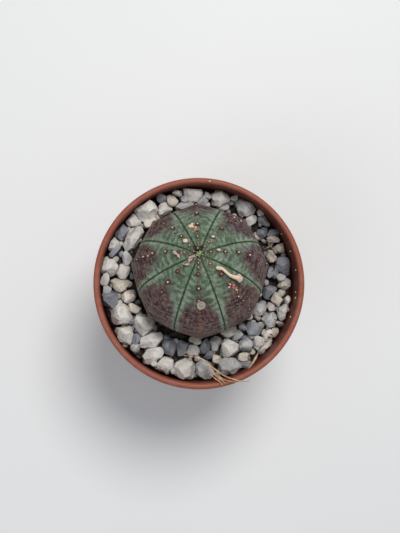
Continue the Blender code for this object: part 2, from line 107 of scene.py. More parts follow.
# Euphorbia
BODY_RADIUS = 27.6 * MM
CROWN_HEIGHT = 22.0 * MM
BELLY_DEPTH = 25.0 * MM
ROOT_LENGTH = 24.0 * MM
NECK_POLAR = 150.0
BODY_CENTRE = np.array((0.0, 5.0 * MM, POT_HEIGHT - 2.0 * MM))
LEAN = math.radians(14.5)
LEAN_BEARING = math.radians(110.0)
RIB_CRESTS = (3.0, 50.0, 92.5, 134.0, 175.0, 222.0, 270.0, 316.0)
RIB_GROOVES = (22.0, 69.0, 115.5, 156.0, 201.0, 247.0, 292.0, 338.0)
RIB_DEPTH = 1.25 * MM
CHEEK_HOLLOW = 0.55 * MM
CREASE_DEPTH = 0.40 * MM
CREASE_WIDTH = 0.34 * MM
KEEL_RISE = 0.22 * MM
KEEL_SHARE = 0.06
BAND_HEIGHT = 0.055 * MM
BAND_SPACING = 2.35 * MM
BAND_ARCH = 1.7 * MM
CROWN_DIMPLE = 0.8 * MM
HALF_RIB_STEPS = 24
CROWN_RINGS = 152
BELLY_RINGS = 30
ROOT_RINGS = 22
# Polar angles in degrees, for the ribs' fade at the neck, the keels and the crown's dimple.
NECK_FADE = 45.0
KEEL_START = 25.0
KEEL_RUN = 30.0
DIMPLE_REACH = 9.0
BAND_PATCH = 7.0 * MM
BAND_DRIFT = 1.5 * MM
BAND_RIPPLE = 0.35 * MM
RIB_RUST = (0.15, 0.20, 0.20, 0.25, 0.20, 0.35, 1.0, 0.25)
RUST_WIDTH = 0.022
# How far the painted shade round each eye reaches, as a share of its radius.
HALO_REACH = 1.55
# The largest random turn, in radians.
RANDOM_TURN = 6.28

# Flower eyes down each rib: polar angle, bearing and radius in millimetres.
EYES = (
    (5.3, 103.0, 0.50), (9.7, 95.0, 0.55), (14.9, 94.5, 0.58), (20.5, 93.5, 0.42), (27.2, 92.4, 0.85),
    (40.8, 92.6, 0.85), (58.0, 92.5, 0.50),
    (7.8, 55.0, 0.52), (12.9, 53.0, 0.55), (18.7, 53.0, 0.78), (25.2, 52.5, 0.40), (30.7, 52.0, 0.90),
    (43.7, 50.7, 0.86), (47.6, 46.0, 0.42), (52.0, 48.8, 0.55), (70.7, 49.4, 0.70),
    (5.6, 20.0, 0.42), (9.6, 13.0, 0.62), (15.8, 12.0, 0.72), (21.4, 7.0, 0.84), (33.2, 5.4, 0.98),
    (43.9, 3.3, 0.86), (55.4, 0.8, 0.82), (71.9, 1.1, 0.62),
    (5.4, 313.0, 0.45), (8.6, 322.0, 0.40), (11.7, 318.0, 0.62), (24.0, 317.0, 0.92), (35.2, 316.0, 0.84),
    (45.1, 317.0, 0.45), (55.4, 316.0, 0.50), (69.9, 316.5, 0.66),
    (4.4, 262.0, 0.40), (7.2, 266.0, 0.60), (11.1, 267.0, 0.66), (16.5, 267.0, 0.86), (22.4, 268.0, 0.40),
    (27.9, 268.5, 0.90), (38.2, 269.0, 0.66),
    (6.0, 232.0, 0.40), (14.0, 216.0, 0.45), (17.6, 219.0, 0.40), (22.1, 218.0, 0.88), (34.0, 220.0, 0.98),
    (44.3, 222.5, 0.84), (54.1, 224.0, 0.55), (62.0, 222.0, 0.42), (80.0, 224.0, 0.62),
    (4.0, 196.0, 0.38), (7.1, 180.0, 0.55), (11.8, 172.0, 0.62), (16.7, 171.0, 0.66), (28.2, 172.0, 0.86),
    (40.4, 174.0, 0.90), (50.9, 176.0, 0.84), (61.9, 176.5, 0.60),
    (5.0, 150.0, 0.40), (10.5, 135.5, 0.62), (21.6, 131.6, 0.72), (28.1, 133.0, 0.52), (34.4, 131.0, 0.92),
    (41.0, 134.5, 0.40), (46.4, 133.0, 0.55), (59.3, 135.5, 0.60),
)

# Hollows in the crown above the growing point, pressed into the mesh and darkened with painted shade: polar
# angle, bearing and radius in millimetres.
CREVICE_DEPTH = 0.9 * MM
CREVICES = (
    (3.4, 118.0, 1.00),
    (5.4, 121.0, 0.95),
    (7.6, 123.0, 0.62),
    (4.2, 84.0, 0.85),
    (6.4, 74.0, 0.60),
    (4.4, 160.0, 0.55),
)

# Small chips tucked between the large ones: place, length and width in millimetres, turn in degrees,
# tone, and raise in millimetres.
SMALL_CHIPS = (
    (-10.8, 34.2, 5.1, 4.4, -60, "cream", 0.6),
    (-19.7, 25.1, 5.7, 4.2, 35, "cream", 0.6),
    (3.8, 36.5, 3.5, 3.3, 0, "grey", 0.0),
    (10.0, 31.9, 5.0, 3.2, 0, "grey", -0.4),
    (15.1, 35.5, 3.5, 2.9, 60, "pale", 0.4),
    (25.8, 29.2, 3.9, 3.6, 0, "pale", 0.9),
    (31.2, 21.1, 5.4, 3.0, 10, "slate", 0.0),
    (31.1, 18.4, 5.4, 3.0, -5, "cream", 0.3),
    (30.0, 5.3, 5.2, 2.9, 80, "slate", -0.2),
    (32.1, 5.0, 5.2, 3.0, 80, "slate", -0.4),
    (35.0, 2.8, 4.2, 3.2, 0, "grey", 0.0),
    (30.3, -10.0, 3.2, 2.8, 0, "pale", 0.8),
    (31.8, -20.0, 4.2, 3.0, 80, "cream", 0.2),
    (19.1, -30.1, 5.6, 3.3, 0, "cream", 0.7),
    (19.7, -33.0, 6.0, 3.1, 0, "slate", 0.2),
    (7.4, -30.6, 4.2, 3.9, 50, "cream", 0.9),
    (4.1, -29.3, 4.0, 3.6, 0, "slate", 0.2),
    (-25.4, -26.1, 4.4, 3.5, 0, "grey", 0.0),
    (-25.4, -22.7, 4.4, 3.6, 80, "slate", -0.2),
    (-26.1, -10.0, 5.6, 3.7, -20, "cream", 0.5),
    (-29.3, 10.3, 5.6, 3.5, 85, "grey", 0.3),
    (-38.1, 1.4, 5.2, 3.2, 80, "pale", 0.2),
    (-15.1, 34.9, 4.0, 3.7, 0, "slate", 0.2),
    (-5.8, 34.7, 3.5, 3.0, 0, "grey", 0.2),
    (-5.3, 32.2, 7.9, 3.4, 0, "grey", 0.2),
    (-34.1, 13.0, 5.8, 4.1, 35, "slate", 0.0),
    (-8.8, 37.2, 3.8, 3.4, 0, "pale", 0.8),
    (-18.2, -32.6, 2.6, 2.3, 0, "pale", 0.6),
    (-37.5, -2.6, 3.8, 3.3, 0, "grey", 0.0),
    (-10.7, -35.7, 3.0, 2.7, 0, "pale", 0.4),
    (-27.2, -15.6, 3.0, 2.5, 0, "slate", 0.0),
    (-3.0, -32.3, 2.5, 2.2, 0, "pale", 0.4),
    (37.2, -6.6, 3.4, 2.2, 70, "cream", 0.2),
    (36.9, 1.0, 3.2, 2.6, 0, "grey", 0.0),
)
CHIP_TOP = 5.4 * MM
SMALL_CHIP_SWELL = np.array((1.16, 1.16, 1.1))
RIDGE_FLATS = 3
CHIP_VOXEL = 0.29 * MM
# A large chip's size as a share of its solid's.
CHIP_SHARE = 0.99
SOIL_VOXEL = 0.9 * MM
BED_BELLY_RADIUS = 27.0 * MM
BED_WALL_GAP = 1.2 * MM
POINT_DENSITY = 4.0e5

# Dried stalks: polar angle, bearing, lift of the centre line and radius in millimetres at each point.
LONG_STALK = (
    (17.8, 320.2, 0.55, 0.66),
    (18.6, 321.6, 0.80, 0.76),
    (20.4, 324.6, 1.00, 0.66),
    (22.6, 326.5, 1.15, 0.56),
    (26.0, 325.5, 1.40, 0.55),
    (30.0, 325.2, 1.65, 0.58),
    (33.0, 326.6, 1.85, 0.70),
    (35.0, 328.2, 2.00, 0.90),
    (36.8, 328.9, 2.10, 1.02),
    (38.2, 329.2, 1.95, 0.80),
)
CURLED_STALK = (
    (3.4, 205.0, 0.60, 0.45),
    (5.2, 206.0, 0.95, 0.60),
    (7.2, 211.0, 1.20, 0.66),
    (9.2, 217.0, 1.25, 0.72),
    (11.0, 222.5, 1.10, 0.56),
    (12.8, 222.6, 0.90, 0.44),
    (14.2, 216.4, 0.70, 0.40),
    (15.2, 211.4, 0.55, 0.34),
)
SHORT_STALK = (
    (20.6, 173.6, 0.45, 0.46),
    (19.4, 175.4, 0.75, 0.60),
    (17.8, 179.3, 0.85, 0.50),
    (16.4, 184.6, 0.80, 0.60),
    (15.8, 188.6, 0.55, 0.46),
)
STALK_TWIST = 1.4
STALK_END_LIFT = 2.35

# Colours, linear: base, light and dark.
PALE_STONE = ((0.530, 0.496, 0.462), (0.710, 0.680, 0.645), (0.270, 0.254, 0.240))
CREAM_STONE = ((0.520, 0.458, 0.388), (0.690, 0.632, 0.560), (0.265, 0.230, 0.192))
GREY_STONE = ((0.360, 0.357, 0.360), (0.540, 0.534, 0.528), (0.160, 0.161, 0.170))
SLATE_STONE = ((0.180, 0.187, 0.214), (0.300, 0.308, 0.336), (0.076, 0.080, 0.098))

# Stage
FLOOR_SIZE = 8.0
WORLD_STRENGTH = 0.36
LENS = 74.3
SENSOR_WIDTH = 36.0
CAMERA_PLACE = Vector((-26.0 * MM, -14.0 * MM, POT_HEIGHT + 329.0 * MM))
CAMERA_TARGET = Vector((-0.05 * MM, 6.5 * MM, POT_HEIGHT))


# Mesh helpers


@contextmanager
def editing(mesh):
    """Open a mesh for editing, and write it back."""
    bm = bmesh.new()
    bm.from_mesh(mesh)
    yield bm
    bm.to_mesh(mesh)
    bm.free()


def plain_mesh(name, verts, faces):
    """A mesh from points and faces."""
    mesh = bpy.data.meshes.new(name)
    mesh.from_pydata([tuple(vert) for vert in verts], [], faces)
    return mesh


def mesh_of(name, verts, faces):
    """A smooth mesh from points and faces, turned to face outwards."""
    mesh = plain_mesh(name, verts, faces)
    with editing(mesh) as bm:
        if bm.calc_volume(signed=True) < 0:
            bmesh.ops.reverse_faces(bm, faces=bm.faces)
    mesh.shade_smooth()
    return mesh


def circle(sides):
    """Angles spaced evenly round a circle."""
    return np.arange(sides) * 2 * math.pi / sides


def ring_of(angles, radii, heights):
    """Points round the upright axis, with their radii and heights."""
    return np.stack([radii * np.cos(angles), radii * np.sin(angles), heights + 0.0 * angles], axis=-1)


def skin(rings, first=None, last=None):
    """Points and faces over rings of equal count, closed at either end by a pole."""
    count, around = rings.shape[:2]
    verts = rings.reshape(-1, 3)
    faces = []
    for ring in range(count - 1):
        for step in range(around):
            near = ring * around + step
            far = ring * around + (step + 1) % around
            faces.append((near, near + around, far + around, far))
    poles = [pole for pole in (first, last) if pole is not None]
    if poles:
        verts = np.vstack([verts, np.array(poles).reshape(-1, 3)])
    if first is not None:
        pole = count * around
        faces += [(pole, step, (step + 1) % around) for step in range(around)]
    if last is not None:
        pole = len(verts) - 1
        base = (count - 1) * around
        faces += [(base + step, pole, base + (step + 1) % around) for step in range(around)]
    return verts, faces


def read_points(mesh):
    """A mesh's points as an array."""
    points = np.empty(len(mesh.vertices) * 3)
    mesh.vertices.foreach_get("co", points)
    return points.reshape(-1, 3)


def write_points(mesh, points):
    """Move a mesh's points."""
    mesh.vertices.foreach_set("co", np.asarray(points, dtype=float).ravel())
    mesh.update()


def store(mesh, name, values):
    """Keep one number for each point of a mesh."""
    layer = mesh.attributes.new(name, "FLOAT", "POINT")
    layer.data.foreach_set("value", np.asarray(values, dtype=float))


def new_object(name, mesh):
    """An object that shows a mesh."""
    obj = bpy.data.objects.new(name, mesh)
    bpy.context.scene.collection.objects.link(obj)
    return obj


def add_piece(name, mesh, material):
    """A finished piece that rides on the pot's one body."""
    mesh.materials.clear()
    mesh.materials.append(material)
    obj = new_object(name, mesh)
    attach(obj, "root")
    return obj


def evaluated_mesh(obj, name):
    """The object's mesh with its modifiers applied. The object is removed."""
    bpy.context.view_layer.update()
    graph = bpy.context.evaluated_depsgraph_get()
    mesh = bpy.data.meshes.new_from_object(obj.evaluated_get(graph), depsgraph=graph)
    mesh.name = name
    bpy.data.objects.remove(obj, do_unlink=True)
    return mesh


def roughen(mesh, layers, seed):
    """Push points along their normals by layers of (size, height) noise."""
    points = read_points(mesh)
    shift = Vector((seed * 1.7, seed * 0.9, seed * 2.3))
    for index, vert in enumerate(mesh.vertices):
        push = 0.0
        for size, height in layers:
            push += height * noise.noise(vert.co / size + shift)
        points[index] += np.array(vert.normal) * push
    write_points(mesh, points)


# Node helpers


def node(tree, kind, inputs=(), **settings):
    """Add a node, set its properties, and set or link its inputs."""
    made = tree.nodes.new(kind)
    for key, value in settings.items():
        setattr(made, key, value)
    for key, value in dict(inputs).items():
        if isinstance(value, bpy.types.NodeSocket):
            tree.links.new(value, made.inputs[key])
        else:
            made.inputs[key].default_value = value
    return made


def calc(tree, operation, first, second=0.0, clamp=False):
    """One sum on numbers."""
    made = node(tree, "ShaderNodeMath", {0: first, 1: second}, operation=operation, use_clamp=clamp)
    return made.outputs[0]


def times(tree, first, second):
    """The product of two numbers."""
    return calc(tree, "MULTIPLY", first, second)


def plus(tree, first, second):
    """The sum of two numbers."""
    return calc(tree, "ADD", first, second)


def ease(tree, value, low, high, start=0.0, end=1.0):
    """Run a value smoothly from start to end as it passes from low to high."""
    inputs = {"Value": value, "From Min": low, "From Max": high, "To Min": start, "To Max": end}
    return node(tree, "ShaderNodeMapRange", inputs, interpolation_type="SMOOTHSTEP").outputs["Result"]


def tint(tree, share, first, second):
    """Mix two colours."""
    made = node(tree, "ShaderNodeMix", {0: share}, data_type="RGBA", blend_type="MIX")
    for slot, colour in ((6, first), (7, second)):
        if isinstance(colour, bpy.types.NodeSocket):
            tree.links.new(colour, made.inputs[slot])
        else:
            made.inputs[slot].default_value = (*colour, 1.0)
    return made.outputs[2]


def layered(tree, colour, *layers):
    """Lay tones over a colour, each up to a share of it as a value passes from low to high."""
    for value, low, high, share, tone in layers:
        colour = tint(tree, ease(tree, value, low, high, 0.0, share), colour, tone)
    return colour


def cloud(tree, place, scale, detail=3.0, roughness=0.55, distortion=0.0):
    """A soft noise value."""
    inputs = {"Vector": place, "Scale": scale, "Detail": detail}
    inputs |= {"Roughness": roughness, "Distortion": distortion}
    return node(tree, "ShaderNodeTexNoise", inputs).outputs["Fac"]


def kept(tree, name):
    """A number kept on the mesh."""
    return node(tree, "ShaderNodeAttribute", attribute_name=name).outputs["Fac"]


def bumped(tree, height, strength, distance):
    """A normal raised by a height."""
    inputs = {"Height": height, "Strength": strength, "Distance": distance}
    return node(tree, "ShaderNodeBump", inputs).outputs[0]


def new_finish(name):
    """A material, its tree, its shader and its object coordinates."""
    material = bpy.data.materials.new(name)
    material.use_nodes = True
    tree = material.node_tree
    shader = tree.nodes["Principled BSDF"]
    place = node(tree, "ShaderNodeTexCoord").outputs["Object"]
    return material, tree, shader, place


def finish_with(tree, shader, colour, roughness, normal):
    """Wire a shader's colour, roughness and normal."""
    tree.links.new(colour, shader.inputs["Base Color"])
    tree.links.new(roughness, shader.inputs["Roughness"])
    tree.links.new(normal, shader.inputs["Normal"])


def finish_grained(tree, shader, colour, grain, roughness, relief):
    """Wire a shader whose roughness and relief both follow one grain."""
    finish_with(tree, shader, colour, ease(tree, grain, 0.3, 0.7, *roughness), bumped(tree, grain, *relief))


# Finishes


def stone_finish(name, tones):
    """Matt broken stone: cloudy patches, grains, pale veins, and a painted highlight on the faces that point
    up.
    """
    base, light, dark = tones
    material, tree, shader, place = new_finish(name)
    drift = cloud(tree, place, 75.0, 1.0)
    patches = cloud(tree, place, 260.0, 3.0, distortion=0.6)
    grains = cloud(tree, place, 1100.0, 4.0, 0.7)
    fine = cloud(tree, place, 2600.0, 2.0, 0.6)
    colour = layered(
        tree,
        base,
        (drift, 0.42, 0.58, 1.0, light),
        (patches, 0.46, 0.62, 0.60, dark),
        (grains, 0.50, 0.66, 0.50, light),
        (fine, 0.54, 0.64, 0.42, dark),
    )
    vein = cloud(tree, place, 120.0, 2.0, distortion=1.2)
    vein = calc(tree, "ABSOLUTE", calc(tree, "SUBTRACT", vein, 0.5))
    colour = tint(tree, ease(tree, vein, 0.0, 0.012, 0.35, 0.0), colour, light)
    # Painted highlight: faces that point up are lightened towards the light tone.
    normal = node(tree, "ShaderNodeNewGeometry").outputs["Normal"]
    up = node(tree, "ShaderNodeSeparateXYZ", {0: normal}).outputs["Z"]
    colour = tint(tree, ease(tree, up, 0.2, 1.0, 0.0, 0.22), colour, light)
    roughness = ease(tree, grains, 0.3, 0.7, 0.74, 0.92)
    height = plus(tree, times(tree, grains, 0.7), times(tree, fine, 0.3))
    finish_with(tree, shader, colour, roughness, bumped(tree, height, 0.5, 0.00022))
    shader.inputs["Specular IOR Level"].default_value = 0.35
    return material


def mixed_stone_finish():
    """Stone whose tone is kept on the mesh, for the loose chips."""
    material, tree, shader, place = new_finish("loose_chip_stone")
    tone = kept(tree, "tone")
    grains = cloud(tree, place, 1500.0, 4.0, 0.7)
    patches = cloud(tree, place, 400.0, 3.0)
    colour = layered(
        tree,
        SLATE_STONE[0],
        (tone, 0.25, 0.40, 1.0, GREY_STONE[0]),
        (tone, 0.50, 0.62, 1.0, CREAM_STONE[0]),
        (tone, 0.75, 0.85, 1.0, PALE_STONE[0]),
        (patches, 0.45, 0.7, 0.5, (0.14, 0.13, 0.12)),
        (grains, 0.5, 0.8, 0.4, PALE_STONE[1]),
    )
    finish_grained(tree, shader, colour, grains, (0.76, 0.92), (0.5, 0.0002))
    return material


def plastic_finish():
    """Terracotta-coloured moulded plastic, faintly mottled, dusty and scuffed, and darkened inside by soil
    stain and painted shade.
    """
    material, tree, shader, place = new_finish("terracotta_plastic")
    mottle = cloud(tree, place, 45.0, 3.0)
    dust = cloud(tree, place, 240.0, 5.0, 0.65, 0.4)
    specks = cloud(tree, place, 2600.0, 2.0)
    stretched = node(tree, "ShaderNodeMapping", {"Vector": place, "Scale": (1.0, 1.0, 14.0)}).outputs[0]
    scuffs = cloud(tree, stretched, 700.0, 3.0, 0.7, 1.5)
    colour = layered(
        tree,
        tint(tree, mottle, (0.235, 0.062, 0.036), (0.320, 0.094, 0.058)),
        (dust, 0.44, 0.70, 0.16, (0.440, 0.290, 0.245)),
        (scuffs, 0.58, 0.70, 0.22, (0.480, 0.270, 0.215)),
        (specks, 0.64, 0.72, 0.30, (0.560, 0.480, 0.430)),
    )
    # Soil stain and painted shade on the inner wall: the inside is darkened almost to a deep red-brown.
    inside_stain_and_shade = times(tree, kept(tree, "inside"), ease(tree, dust, 0.40, 0.60, 0.97, 0.84))
    colour = tint(tree, inside_stain_and_shade, colour, (0.082, 0.014, 0.008))
    roughness = ease(tree, dust, 0.35, 0.75, 0.38, 0.64)
    height = plus(tree, times(tree, specks, 0.5), times(tree, scuffs, 0.5))
    finish_with(tree, shader, colour, roughness, bumped(tree, height, 0.18, 0.00015))
    shader.inputs["Specular IOR Level"].default_value = 0.24
    return material


def soil_finish():
    """Dark fibrous potting mix with paler bits."""
    material, tree, shader, place = new_finish("potting_soil")
    lumps = cloud(tree, place, 420.0, 5.0, 0.7)
    bits = node(tree, "ShaderNodeTexVoronoi", {"Vector": place, "Scale": 900.0}).outputs["Color"]
    bit = node(tree, "ShaderNodeSeparateColor", {0: bits}).outputs[0]
    colour = layered(
        tree,
        (0.010, 0.008, 0.006),
        (lumps, 0.36, 0.64, 1.0, (0.052, 0.038, 0.030)),
        (bit, 0.80, 0.95, 0.5, (0.170, 0.130, 0.100)),
    )
    roughness = ease(tree, lumps, 0.2, 0.8, 0.85, 0.98)
    finish_with(tree, shader, colour, roughness, bumped(tree, lumps, 0.8, 0.0006))
    return material


def skin_finish():
    """Waxy skin, banded green by the grooves and purple-brown on the ribs, with fine pale lines."""
    material, tree, shader, place = new_finish("euphorbia_skin")
    side = kept(tree, "rib_share")
    down = kept(tree, "apex_way")
    gap = kept(tree, "groove_gap")
    mottle = cloud(tree, place, 620.0, 3.0, 0.62)
    patches = cloud(tree, place, 210.0, 3.0)
    bend = cloud(tree, place, 130.0, 1.0)
    fine = cloud(tree, place, 1900.0, 2.0)

    # Greens, darker in the hollows of the growth bands and greyer on their swells.
    band = kept(tree, "growth_band")
    spot = kept(tree, "rib_place")
    run = node(tree, "ShaderNodeCombineXYZ", {0: down, 1: times(tree, spot, 3.2)}).outputs[0]
    broad = cloud(tree, run, 0.30, 2.0, 0.5)
    narrow = cloud(tree, run, 0.72, 3.0, 0.6)
    green = layered(
        tree,
        (0.072, 0.118, 0.066),
        (broad, 0.42, 0.58, 1.0, (0.132, 0.190, 0.130)),
        (patches, 0.46, 0.60, 0.45, (0.044, 0.078, 0.040)),
        (down, 13.0, 30.0, 0.60, (0.215, 0.245, 0.202)),
        (band, 0.15, -0.90, 0.58, (0.030, 0.058, 0.027)),
        (band, 0.20, 0.90, 0.46, (0.245, 0.302, 0.262)),
        (narrow, 0.50, 0.66, 0.36, (0.250, 0.305, 0.258)),
        (narrow, 0.49, 0.34, 0.40, (0.034, 0.062, 0.030)),
        (mottle, 0.51, 0.62, 0.46, (0.034, 0.062, 0.030)),
        (mottle, 0.47, 0.36, 0.34, (0.265, 0.312, 0.262)),
        (down, 10.0, 2.0, 0.60, (0.046, 0.100, 0.034)),
    )

    # Purple-brown spreading from the crest, wider further down and least on the upper rib.
    from_upper = calc(tree, "ABSOLUTE", calc(tree, "SUBTRACT", spot, 4.0))
    start = plus(tree, times(tree, calc(tree, "POWER", side, 2.0), 10.5), 17.5)
    start = plus(tree, start, ease(tree, from_upper, 1.1, 0.8, 0.0, 4.0))
    wobble = times(tree, calc(tree, "SUBTRACT", patches, 0.5), 8.0)
    streaks = times(tree, calc(tree, "SUBTRACT", narrow, 0.5), 5.0)
    reach = calc(tree, "SUBTRACT", plus(tree, plus(tree, down, wobble), streaks), start)
    purple = ease(tree, reach, -4.2, 4.2)
    purple = times(tree, purple, ease(tree, gap, 0.4, 2.0))
    purple = times(tree, purple, ease(tree, mottle, 0.40, 0.52, 0.75, 1.0))
    violet = layered(
        tree,
        (0.068, 0.022, 0.027),
        (broad, 0.42, 0.58, 1.0, (0.102, 0.043, 0.046)),
        (narrow, 0.50, 0.66, 0.48, (0.165, 0.092, 0.084)),
        (patches, 0.46, 0.58, 0.55, (0.026, 0.008, 0.011)),
        (mottle, 0.50, 0.61, 0.62, (0.022, 0.007, 0.009)),
        (mottle, 0.46, 0.36, 0.38, (0.170, 0.100, 0.090)),
    )
    axes = node(tree, "ShaderNodeSeparateXYZ", {0: place}).outputs
    # A paler, bluer violet over the purple on the upper right of the body.
    upper_right_violet = ease(tree, plus(tree, axes["X"], axes["Y"]), 0.016, 0.036, 0.0, 0.50)
    upper_right_violet = times(tree, upper_right_violet, ease(tree, mottle, 0.56, 0.44))
    violet = tint(tree, upper_right_violet, violet, (0.100, 0.078, 0.130))
    colour = tint(tree, purple, green, violet)

    # Long pale lines across and along the ribs, fading in and out.
    across = calc(tree, "PINGPONG", plus(tree, down, times(tree, bend, 4.0)), 1.05)
    along = calc(tree, "PINGPONG", plus(tree, gap, times(tree, bend, 3.0)), 0.90)
    across = times(tree, ease(tree, across, 0.74, 1.00), ease(tree, patches, 0.46, 0.55))
    along = times(tree, ease(tree, along, 0.66, 0.86), ease(tree, patches, 0.53, 0.45))
    lines = calc(tree, "MAXIMUM", across, along)
    lines = times(tree, lines, ease(tree, fine, 0.40, 0.55, 0.25, 1.0))
    line_share = times(tree, lines, ease(tree, purple, 0.0, 1.0, 0.06, 0.66))
    line_share = times(tree, line_share, ease(tree, down, 12.0, 36.0, 0.35, 1.0))
    colour = tint(tree, line_share, colour, (0.330, 0.235, 0.215))
    # Painted highlight: pale brown streaks along the body's outline and below it.
    edge = ease(tree, plus(tree, down, wobble), 27.0, 34.0, 0.0, 0.6)
    edge = times(tree, edge, ease(tree, narrow, 0.44, 0.56))
    colour = tint(tree, edge, colour, (0.235, 0.170, 0.138))

    # A pale strip beside each groove, and the dark groove itself.
    strip = times(tree, ease(tree, gap, 2.6, 0.9), ease(tree, gap, 0.30, 0.62))
    strip = times(tree, strip, ease(tree, down, 8.0, 26.0, 0.10, 0.80))
    strip = times(tree, strip, ease(tree, mottle, 0.56, 0.44, 0.25, 1.0))
    colour = tint(tree, strip, colour, (0.262, 0.328, 0.240))
    colour = tint(tree, ease(tree, gap, 0.46, 0.12, 0.0, 0.96), colour, (0.012, 0.032, 0.010))
    # Painted shade: near black in the crown's hollows.
    colour = tint(tree, kept(tree, "crevice"), colour, (0.008, 0.012, 0.006))

    # Painted shade round each eye, as though it sat in a shallow hollow, then rusty crests, and cork at the
    # base.
    eye_shade = times(tree, kept(tree, "eye_shade_ring"), 0.70)
    colour = tint(tree, eye_shade, colour, (0.050, 0.028, 0.024))
    spots = calc(tree, "PINGPONG", plus(tree, down, times(tree, bend, 9.0)), 0.70)
    rust = times(tree, kept(tree, "rust"), ease(tree, spots, 0.20, 0.45, 0.15, 0.9))
    rust = times(tree, rust, ease(tree, mottle, 0.58, 0.50, 0.35, 1.0))
    low = plus(tree, down, wobble)
    colour = layered(
        tree,
        tint(tree, rust, colour, (0.240, 0.120, 0.076)),
        (low, 41.0, 58.0, 0.55, (0.180, 0.145, 0.105)),
        (low, 56.0, 70.0, 1.0, (0.260, 0.185, 0.115)),
        (fine, 0.60, 0.68, 0.30, (0.340, 0.320, 0.275)),
        (fine, 0.42, 0.34, 0.42, (0.026, 0.024, 0.018)),
    )

    roughness = ease(tree, mottle, 0.4, 0.6, 0.44, 0.64)
    ridges = plus(tree, times(tree, lines, 0.5), times(tree, mottle, 0.9))
    finish_with(tree, shader, colour, roughness, bumped(tree, ridges, 0.45, 0.00014))
    shader.inputs["Specular IOR Level"].default_value = 0.28
    shader.inputs["Sheen Weight"].default_value = 0.05
    shader.inputs["Sheen Roughness"].default_value = 0.45
    shader.inputs["Sheen Tint"].default_value = (0.90, 0.80, 0.72, 1.0)
    return material


def eye_finish():
    """Flower eyes: dark maroon scales around a pale dried tip."""
    material, tree, shader, place = new_finish("flower_eye")
    tip = kept(tree, "tip")
    pale = kept(tree, "pale")
    young = kept(tree, "young")
    flecks = cloud(tree, place, 2600.0, 3.0)
    base = tint(tree, flecks, (0.022, 0.008, 0.008), (0.095, 0.034, 0.027))
    young_pale = times(tree, young, ease(tree, pale, 0.2, 0.8, 0.2, 0.9))
    base = tint(tree, young_pale, base, (0.200, 0.105, 0.080))
    crown = tint(tree, ease(tree, pale, 0.3, 0.6), (0.300, 0.125, 0.085), (0.720, 0.540, 0.440))
    crown = tint(tree, young, crown, (0.720, 0.500, 0.420))
    colour = tint(tree, ease(tree, tip, 0.35, 0.75), base, crown)
    finish_grained(tree, shader, colour, flecks, (0.55, 0.8), (0.5, 0.0001))
    return material


def dried_finish(name, light, dark, grain=1100.0):
    """Dried plant matter, streaked and flecked."""
    material, tree, shader, place = new_finish(name)
    streak = cloud(tree, place, grain, 4.0, 0.65, 0.8)
    fleck = cloud(tree, place, grain * 3.5, 2.0)
    colour = layered(
        tree,
        light,
        (streak, 0.35, 0.65, 1.0, dark),
        (fleck, 0.60, 0.75, 0.5, (0.170, 0.085, 0.050)),
    )
    finish_grained(tree, shader, colour, streak, (0.68, 0.88), (0.6, 0.00015))
    return material


def crumb_finish():
    """Crumbs of dried flower, from rust through orange to cream and pink."""
    material, tree, shader, place = new_finish("flower_crumb")
    tone = kept(tree, "tone")
    fleck = cloud(tree, place, 2400.0, 3.0)
    colour = layered(
        tree,
        (0.150, 0.045, 0.025),
        (tone, 0.10, 0.35, 1.0, (0.430, 0.165, 0.090)),
        (tone, 0.45, 0.60, 1.0, (0.720, 0.545, 0.410)),
        (tone, 0.80, 0.95, 1.0, (0.480, 0.130, 0.135)),
        (fleck, 0.5, 0.75, 0.5, (0.130, 0.055, 0.035)),
    )
    finish_grained(tree, shader, colour, fleck, (0.6, 0.85), (0.5, 0.0001))
    return material


def bud_finish():
    """Soft yellow-green new growth."""
    material, tree, shader, place = new_finish("new_growth")
    tip = kept(tree, "tip")
    cast = cloud(tree, place, 1500.0, 2.0)
    colour = tint(tree, tip, (0.090, 0.150, 0.048), (0.400, 0.470, 0.250))
    colour = layered(tree, colour, (cast, 0.50, 0.64, 0.5, (0.420, 0.340, 0.190)))
    finish_grained(tree, shader, colour, cast, (0.45, 0.6), (0.3, 0.0001))
    return material


# Pot


def inner_profile():
    """The cavity's wall as (radius, height) from the lip down to the floor."""
    top = RIM_RADIUS - LIP_WIDTH
    shoulder = RIM_RADIUS - LIP_OVERHANG - WALL - COLLAR_STEP
    shoulder_height = POT_HEIGHT - COLLAR_HEIGHT
    return [
        (top, POT_HEIGHT - LIP_WIDTH / 2),
        (top - DRAFT_INSIDE, shoulder_height),
        (shoulder - DRAFT, shoulder_height - COLLAR_STEP_DROP),
        (FOOT_RADIUS - WALL, FLOOR_RISE + FLOOR_THICKNESS),
    ]


def cavity_radius(height):
    """The cavity's radius at a height."""
    rows = inner_profile()[::-1]
    return float(np.interp(height, [row[1] for row in rows], [row[0] for row in rows]))


def rounded(points, corner, radius, steps=4):
    """Replace a profile's corner with a short arc."""
    before, here, after = (Vector(points[corner + offset]) for offset in (-1, 0, 1))
    back = (before - here).normalized()
    ahead = (after - here).normalized()
    reach = min(radius, (before - here).length * 0.45, (after - here).length * 0.45)
    start, end = here + back * reach, here + ahead * reach
    arc = []
    for step in range(steps + 1):
        share = step / steps
        arc.append(tuple(start.lerp(here, share).lerp(here.lerp(end, share), share)))
    return arc


